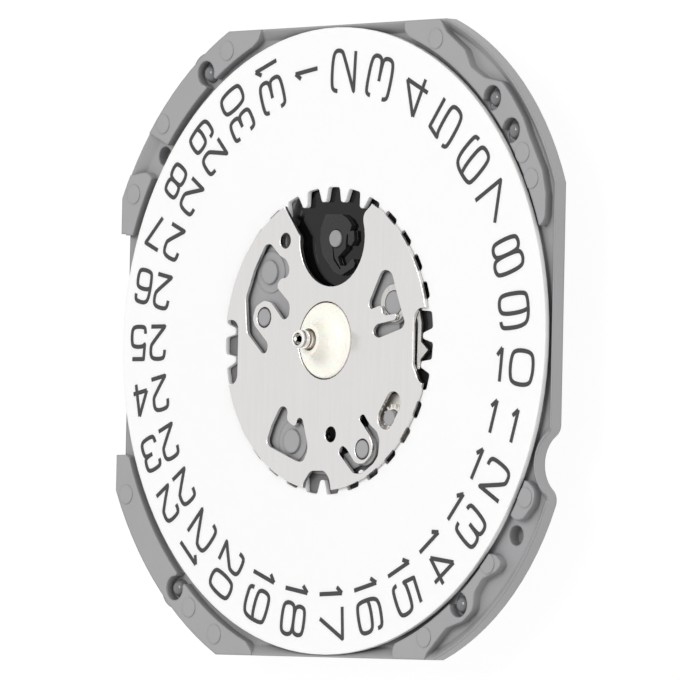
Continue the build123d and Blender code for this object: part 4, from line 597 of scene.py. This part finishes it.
# The date guard: steel strip, rolled bright, blanked in a press and staked onto the plate's
# posts. The rolls leave fine streaks along 12 to 6 o'clock, and handling leaves faint matt specks.
def sheet_steel(name, bright, dull, streak_size, sheen_low, sheen_high, edge_size):
    """Rolled sheet metal with streaks along +Y and a blanked edge that catches the light.

    The streaks are drawn coarser than the rolls' real marks, so that they show.
    """
    finish = bpy.data.materials.new(name)
    finish.use_nodes = True
    tree = finish.node_tree
    tree.nodes.clear()
    streak_height = 0.6 * micron
    speck_size = 0.9 * millimetre
    place = add_node(tree, "ShaderNodeTexCoord", {}, {}).outputs["Object"]
    drawn = add_node(tree, "ShaderNodeMapping", {}, {"Vector": place, "Scale": (1.0, 0.05, 1.0)})
    streak = add_node(
        tree,
        "ShaderNodeTexNoise",
        {},
        {"Vector": drawn.outputs[0], "Scale": 1 / streak_size, "Detail": 3.0, "Roughness": 0.6},
    )
    speck = add_node(
        tree,
        "ShaderNodeTexNoise",
        {},
        {"Vector": place, "Scale": 1 / speck_size, "Detail": 5.0, "Roughness": 0.65},
    )
    tone = add_node(
        tree,
        "ShaderNodeMix",
        {"data_type": "RGBA"},
        {"Factor": streak.outputs["Fac"], 6: surface_colour(dull), 7: surface_colour(bright)},
    )
    sheen = add_node(
        tree,
        "ShaderNodeMapRange",
        {},
        {
            "Value": speck.outputs["Fac"],
            "From Min": 0.35,
            "From Max": 0.65,
            "To Min": sheen_low,
            "To Max": sheen_high,
        },
    )
    edge = add_node(tree, "ShaderNodeBevel", {"samples": 6}, {"Radius": edge_size})
    relief = add_node(
        tree,
        "ShaderNodeBump",
        {},
        {
            "Strength": 0.12,
            "Distance": streak_height,
            "Height": streak.outputs["Fac"],
            "Normal": edge.outputs["Normal"],
        },
    )
    skin = add_node(
        tree,
        "ShaderNodeBsdfPrincipled",
        {},
        {
            "Base Color": tone.outputs[2],
            "Metallic": 1.0,
            "Roughness": sheen.outputs[0],
            "Normal": relief.outputs["Normal"],
        },
    )
    add_node(tree, "ShaderNodeOutputMaterial", {}, {"Surface": skin.outputs[0]})
    return finish


# Silvery and nearly even, with a thin bright line along every blanked edge.
guard_steel = sheet_steel(
    "bright_rolled_guard_steel",
    bright="e1dfde",
    dull="dad8d7",
    streak_size=0.16 * millimetre,
    sheen_low=0.16,
    sheen_high=0.26,
    edge_size=0.03 * millimetre,
)
dress(guard_steel, "date_guard_plate")


# The date jumper and the keyless work: springs, levers and a cover of hardened and tempered
# steel strip, held by studs and one screw. They are shiny and a little warmer than the guard.
spring_steel = sheet_steel(
    "hardened_spring_steel",
    bright="d8d6d3",
    dull="bdbbb8",
    streak_size=0.06 * millimetre,
    sheen_low=0.14,
    sheen_high=0.30,
    edge_size=0.01 * millimetre,
)
dress(
    spring_steel,
    "date_jumper",
    "setting_wheel",
    "setting_lever",
    "yoke",
    "stop_lever",
    "keyless_cover",
    "battery_contact",
)


# The date corrector wheel: a stamped steel star on a stud of the plate, tumbled and plated with
# nickel. It shows through the oblong slot as a pale, satin grey without a mirror image.
corrector_steel = sheet_steel(
    "satin_nickel_corrector_steel",
    bright="efece6",
    dull="e0ddd7",
    streak_size=0.06 * millimetre,
    sheen_low=0.45,
    sheen_high=0.60,
    edge_size=0.01 * millimetre,
)
dress(corrector_steel, "date_corrector_wheel")


# The circuit cover: a nickel plated steel sheet that closes the back, held by its screws. It
# gives a broad, soft reflection with the streaks of the rolls in it.
cover_steel = sheet_steel(
    "satin_nickel_cover_steel",
    bright="cfcdc8",
    dull="bdbbb5",
    streak_size=0.12 * millimetre,
    sheen_low=0.26,
    sheen_high=0.40,
    edge_size=0.02 * millimetre,
)
dress(cover_steel, "circuit_cover")


# The stator and the coil's core: blanked from soft iron sheet and annealed, which leaves them
# a dull blue grey. The core is screwed down on the stator's ends.
soft_iron = sheet_steel(
    "annealed_core_iron",
    bright="a3a4a6",
    dull="8b8c8e",
    streak_size=0.10 * millimetre,
    sheen_low=0.35,
    sheen_high=0.50,
    edge_size=0.02 * millimetre,
)
dress(soft_iron, "stator", "coil_core")


# The hour wheel: moulded in ivory acetal, slightly glossy, with the fifth wheel of the same
# plastic. Light enters the thin skirt of the trumpet, so it glows a little instead of going
# grey in its shade.
ivory_acetal = bpy.data.materials.new("glossy_ivory_acetal")
ivory_acetal.use_nodes = True
ivory_tree = ivory_acetal.node_tree
ivory_tree.nodes.clear()
ivory_cloud_size = 0.6 * millimetre
ivory_wave_height = 0.01 * millimetre
ivory_place = add_node(ivory_tree, "ShaderNodeTexCoord", {}, {}).outputs["Object"]
ivory_cloud = add_node(
    ivory_tree,
    "ShaderNodeTexNoise",
    {},
    {"Vector": ivory_place, "Scale": 1 / ivory_cloud_size, "Detail": 3.0},
)
ivory_tone = add_node(
    ivory_tree,
    "ShaderNodeMix",
    {"data_type": "RGBA"},
    {"Factor": ivory_cloud.outputs["Fac"], 6: surface_colour("f6f2e6"), 7: surface_colour("fdfaf2")},
)
ivory_relief = add_node(
    ivory_tree,
    "ShaderNodeBump",
    {},
    {"Strength": 0.3, "Distance": ivory_wave_height, "Height": ivory_cloud.outputs["Fac"]},
)
ivory_skin = add_node(
    ivory_tree,
    "ShaderNodeBsdfPrincipled",
    {},
    {
        "Base Color": ivory_tone.outputs[2],
        "Roughness": 0.24,
        "IOR": 1.48,
        "Subsurface Weight": 0.25,
        "Subsurface Scale": 0.25 * millimetre,
        "Normal": ivory_relief.outputs["Normal"],
    },
)
add_node(ivory_tree, "ShaderNodeOutputMaterial", {}, {"Surface": ivory_skin.outputs[0]})
dress(ivory_acetal, "hour_wheel", "fifth_wheel")


# The screws, the clutch wheel and the rotor's pinion: turned from steel bar and burnished,
# which leaves fine rings across the axis on a nearly mirror bright surface.
def turned_metal(name, bright, dull, ring_size, roughness, ring_height):
    """Turned metal with the tool's rings up its axis, drawn coarser than real, so that they show."""
    finish = bpy.data.materials.new(name)
    finish.use_nodes = True
    tree = finish.node_tree
    tree.nodes.clear()
    place = add_node(tree, "ShaderNodeTexCoord", {}, {}).outputs["Object"]
    flattened = add_node(tree, "ShaderNodeMapping", {}, {"Vector": place, "Scale": (0.05, 0.05, 1.0)})
    rings = add_node(
        tree,
        "ShaderNodeTexNoise",
        {},
        {"Vector": flattened.outputs[0], "Scale": 1 / ring_size, "Detail": 2.0},
    )
    contrast = add_node(
        tree, "ShaderNodeMapRange", {}, {"Value": rings.outputs["Fac"], "From Min": 0.38, "From Max": 0.52}
    )
    tone = add_node(
        tree,
        "ShaderNodeMix",
        {"data_type": "RGBA"},
        {"Factor": contrast.outputs[0], 6: surface_colour(dull), 7: surface_colour(bright)},
    )
    relief = add_node(
        tree,
        "ShaderNodeBump",
        {},
        {"Strength": 0.3, "Distance": ring_height, "Height": rings.outputs["Fac"]},
    )
    skin = add_node(
        tree,
        "ShaderNodeBsdfPrincipled",
        {},
        {
            "Base Color": tone.outputs[2],
            "Metallic": 1.0,
            "Roughness": roughness,
            "Normal": relief.outputs["Normal"],
        },
    )
    add_node(tree, "ShaderNodeOutputMaterial", {}, {"Surface": skin.outputs[0]})
    return finish


burnished_steel = turned_metal(
    "burnished_turned_steel",
    bright="dcdad6",
    dull="c6c4c0",
    ring_size=0.03 * millimetre,
    roughness=0.12,
    ring_height=0.5 * micron,
)
dress(
    burnished_steel,
    "rotor_pinion",
    "clutch_wheel",
    "bridge_screws",
    "coil_screws",
    "keyless_screw",
    "cover_screws",
)


# The cannon pinion and the second wheel's arbor: turned and polished steel in the middle of the
# dial side. Their light and dark bands are painted reflections, put into the colour of the steel.
arbor_steel_painted_bands = turned_metal(
    "arbor_steel_painted_reflection_bands",
    bright="fbf9f5",
    dull="544e4a",
    ring_size=0.14 * millimetre,
    roughness=0.06,
    ring_height=0.5 * micron,
)
dress(arbor_steel_painted_bands, "cannon_pinion", "second_wheel")


# The train bridge, the bush and two wheels of the train: cut from brass and lapped. They show
# a warm, low gloss yellow through the holes of the cover.
cut_brass = turned_metal(
    "cut_and_lapped_brass",
    bright="d8b979",
    dull="c9a562",
    ring_size=0.05 * millimetre,
    roughness=0.22,
    ring_height=0.5 * micron,
)
dress(cut_brass, "center_bush", "center_wheel", "third_wheel", "train_bridge")


# The battery's can and cap and the crystal's case: deep drawn steel with nickel on it. The
# drawing leaves a soft, cool shine with clouds in it.
drawn_cell_steel = turned_metal(
    "drawn_nickel_plated_steel",
    bright="cfcfce",
    dull="bdbdbc",
    ring_size=0.08 * millimetre,
    roughness=0.25,
    ring_height=0.8 * micron,
)
dress(drawn_cell_steel, "battery_can", "battery_cap", "quartz_crystal")


# The rotor's magnet: a small ring of sintered alloy, ground to size and pressed onto the
# pinion. It is dark grey and only dimly shiny.
magnet_alloy = turned_metal(
    "ground_sintered_magnet",
    bright="6a6a6c",
    dull="4c4c4f",
    ring_size=0.06 * millimetre,
    roughness=0.45,
    ring_height=1.0 * micron,
)
dress(magnet_alloy, "rotor_magnet")


# The date driving wheel: black acetal with a sprung finger, running on a grey post, with the
# minute wheel of the same plastic. Their faces are satin and catch a soft grey light, while the
# faces below the finger's level are painted near black as shade, and made glossier.
finger_level_drop = 0.015 * millimetre
black_acetal = moulded_plastic(
    "satin_black_acetal",
    pale="2e2e30",
    deep="262628",
    painted_corner_shade="0a0a0b",
    cloud_size=0.8 * millimetre,
    grain_size=0.05 * millimetre,
    grain_height=1.0 * micron,
    sheen_low=0.24,
    sheen_high=0.34,
    edge_size=0.04 * millimetre,
    mirror=1.36,
    # Painted shade: near black and glossier below the finger's level, within 3 mm of this centre.
    painted_shade_zone={
        "centre": (0.30 * millimetre, 3.90 * millimetre),
        "inner": 0.0,
        "outer": 3.0 * millimetre,
        "top": ring_underside - finger_level_drop,
        "thin": 1.0,
        "colour": "0b0a0b",
        "roughness": 0.10,
    },
)
dress(black_acetal, "date_driving_wheel", "minute_wheel")


# The date wheel's post: a grey moulded pin that stands up from the plate, with a flat, matt top
# that reads as a small pale disc in the black wheel.
post_plastic = moulded_plastic(
    "matt_grey_post",
    pale="9b9c9d",
    deep="8d8e8f",
    painted_corner_shade="5a5a5c",
    cloud_size=0.6 * millimetre,
    grain_size=0.04 * millimetre,
    grain_height=0.6 * micron,
    sheen_low=0.35,
    sheen_high=0.45,
    edge_size=0.02 * millimetre,
)
dress(post_plastic, "date_wheel_post")


# The circuit board and the coil's terminal board: glass fibre laminate under green lacquer,
# held by the cover. The lacquer is even and half glossy.
board_laminate = moulded_plastic(
    "green_lacquered_laminate",
    pale="1f6b3c",
    deep="17552f",
    painted_corner_shade="0e3a20",
    cloud_size=1.2 * millimetre,
    grain_size=0.06 * millimetre,
    grain_height=1.0 * micron,
    sheen_low=0.3,
    sheen_high=0.4,
    edge_size=0.01 * millimetre,
)
dress(board_laminate, "circuit_board", "coil_terminal_board")


# The chip: a drop of black resin over the silicon, cured on the board. Its skin is matt, so it
# stays black from every side.
chip_resin = moulded_plastic(
    "matt_black_chip_resin",
    pale="232325",
    deep="18181a",
    painted_corner_shade="0c0c0d",
    cloud_size=0.3 * millimetre,
    grain_size=0.04 * millimetre,
    grain_height=1.5 * micron,
    sheen_low=0.5,
    sheen_high=0.65,
    edge_size=0.02 * millimetre,
)
dress(chip_resin, "circuit_chip")


# The insulator film: thin polyimide, punched out and laid between the bridge and the cover. It
# is a smooth, glossy amber.
amber_film = moulded_plastic(
    "amber_polyimide_film",
    pale="c78f3a",
    deep="b57d2c",
    painted_corner_shade="7a5218",
    cloud_size=2.0 * millimetre,
    grain_size=0.05 * millimetre,
    grain_height=0.3 * micron,
    sheen_low=0.2,
    sheen_high=0.3,
    edge_size=0.005 * millimetre,
)
dress(amber_film, "insulator_film")


# The bobbin: the coil's frame, moulded in natural nylon around the core. Undyed nylon is a
# milky, half matt cream.
bobbin_nylon = moulded_plastic(
    "natural_nylon",
    pale="d9d4c4",
    deep="cbc6b5",
    painted_corner_shade="8f8b7d",
    cloud_size=0.8 * millimetre,
    grain_size=0.05 * millimetre,
    grain_height=1.0 * micron,
    sheen_low=0.35,
    sheen_high=0.5,
    edge_size=0.02 * millimetre,
)
dress(bobbin_nylon, "coil_bobbin")


# The battery's gasket: a black sealing ring squeezed between can and cap. Rubber takes up the
# light, so it shows as a matt dark line.
seal_rubber = moulded_plastic(
    "black_sealing_rubber",
    pale="2a2a2c",
    deep="202022",
    painted_corner_shade="101011",
    cloud_size=0.5 * millimetre,
    grain_size=0.05 * millimetre,
    grain_height=2.0 * micron,
    sheen_low=0.6,
    sheen_high=0.75,
    edge_size=0.02 * millimetre,
)
dress(seal_rubber, "battery_gasket")


# The battery's pellet: dark powder pressed into a disc inside the can. It is rough and nearly
# without any shine.
pressed_powder = moulded_plastic(
    "pressed_dark_powder",
    pale="3a3a3b",
    deep="29292a",
    painted_corner_shade="151516",
    cloud_size=0.3 * millimetre,
    grain_size=0.08 * millimetre,
    grain_height=4.0 * micron,
    sheen_low=0.7,
    sheen_high=0.85,
    edge_size=0.02 * millimetre,
)
dress(pressed_powder, "battery_pellet")


# The bridge's jewels: synthetic ruby rings, ground, polished and pressed in, in which the
# arbors turn. They are deep red with a hard, sharp gloss.
ruby = moulded_plastic(
    "polished_ruby",
    pale="a3123a",
    deep="8c0f30",
    painted_corner_shade="4a0719",
    cloud_size=0.4 * millimetre,
    grain_size=0.05 * millimetre,
    grain_height=0.1 * micron,
    sheen_low=0.05,
    sheen_high=0.10,
    edge_size=0.02 * millimetre,
)
dress(ruby, "bridge_jewels")


# The coil: enamelled copper wire wound on the bobbin in even turns. The real wire is finer than
# a hair and can't be told apart, so it is drawn as 24 turns that still show as wire.
coil_centre = (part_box("coil_winding")[0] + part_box("coil_winding")[1]) / 2
coil_angle = math.radians(22)
coil_length = 3.86 * millimetre
turn_radius = 0.58 * millimetre
wire_radius = 0.08 * millimetre
coil_turns = 24
turn_corners = 48
wire_corners = 10

wound = bpy.data.node_groups.new("even_coil_turns", "GeometryNodeTree")
wound.interface.new_socket("Turns", in_out="INPUT", socket_type="NodeSocketInt")
wound.interface.new_socket("Coil Length", in_out="INPUT", socket_type="NodeSocketFloat")
wound.interface.new_socket("Turn Radius", in_out="INPUT", socket_type="NodeSocketFloat")
wound.interface.new_socket("Wire Radius", in_out="INPUT", socket_type="NodeSocketFloat")
wound.interface.new_socket("Wire", in_out="INPUT", socket_type="NodeSocketMaterial")
wound.interface.new_socket("Geometry", in_out="OUTPUT", socket_type="NodeSocketGeometry")
asked = add_node(wound, "NodeGroupInput", {}, {})
half_length = add_node(
    wound, "ShaderNodeMath", {"operation": "MULTIPLY"}, {0: asked.outputs["Coil Length"], 1: 0.5}
)
low_end = add_node(
    wound, "ShaderNodeMath", {"operation": "MULTIPLY"}, {0: half_length.outputs[0], 1: -1.0}
)
line_start = add_node(wound, "ShaderNodeCombineXYZ", {}, {"Z": low_end.outputs[0]})
line_end = add_node(wound, "ShaderNodeCombineXYZ", {}, {"Z": half_length.outputs[0]})
axis_line = add_node(
    wound,
    "GeometryNodeMeshLine",
    {"mode": "END_POINTS"},
    {
        "Count": asked.outputs["Turns"],
        "Start Location": line_start.outputs[0],
        "Offset": line_end.outputs[0],
    },
)
one_turn = add_node(
    wound,
    "GeometryNodeCurvePrimitiveCircle",
    {},
    {"Resolution": turn_corners, "Radius": asked.outputs["Turn Radius"]},
)
wire_section = add_node(
    wound,
    "GeometryNodeCurvePrimitiveCircle",
    {},
    {"Resolution": wire_corners, "Radius": asked.outputs["Wire Radius"]},
)
wire_ring = add_node(
    wound,
    "GeometryNodeCurveToMesh",
    {},
    {"Curve": one_turn.outputs[0], "Profile Curve": wire_section.outputs[0]},
)
all_turns = add_node(
    wound,
    "GeometryNodeInstanceOnPoints",
    {},
    {"Points": axis_line.outputs[0], "Instance": wire_ring.outputs[0]},
)
made_real = add_node(wound, "GeometryNodeRealizeInstances", {}, {"Geometry": all_turns.outputs[0]})
coloured = add_node(
    wound,
    "GeometryNodeSetMaterial",
    {},
    {"Geometry": made_real.outputs[0], "Material": asked.outputs["Wire"]},
)
add_node(wound, "NodeGroupOutput", {}, {0: coloured.outputs[0]})

# Copper under clear enamel: a warm, bright orange brown with a line of light along each turn.
enamelled_copper = turned_metal(
    "enamelled_copper_wire",
    bright="c67a4a",
    dull="a9582c",
    ring_size=0.05 * millimetre,
    roughness=0.28,
    ring_height=0.3 * micron,
)
coil_holder = bpy.data.objects.new("coil_turns_holder", bpy.data.meshes.new("coil_turns_holder"))
scene.collection.objects.link(coil_holder)
winding = coil_holder.modifiers.new("winding", "NODES")
winding.node_group = wound
coil_sizes = {
    "Turns": coil_turns,
    "Coil Length": coil_length - 2 * wire_radius,
    "Turn Radius": turn_radius,
    "Wire Radius": wire_radius,
    "Wire": enamelled_copper,
}
for item in wound.interface.items_tree:
    if item.in_out == "INPUT":
        winding[item.identifier] = coil_sizes[item.name]
bpy.context.view_layer.update()
coil_mesh = bpy.data.meshes.new_from_object(
    coil_holder.evaluated_get(bpy.context.evaluated_depsgraph_get())
)
coil_holder.modifiers.remove(winding)
bpy.data.objects.remove(coil_holder)
coil_axis = Vector((math.cos(coil_angle), math.sin(coil_angle), 0))
coil_mesh.transform(
    Matrix.Translation(coil_centre) @ coil_axis.to_track_quat("Z", "Y").to_matrix().to_4x4()
)
for face in coil_mesh.polygons:
    face.use_smooth = True
coil_windings = bpy.data.objects.new("coil_windings", coil_mesh)
scene.collection.objects.link(coil_windings)
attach(coil_windings, "plate")
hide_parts("coil_winding")
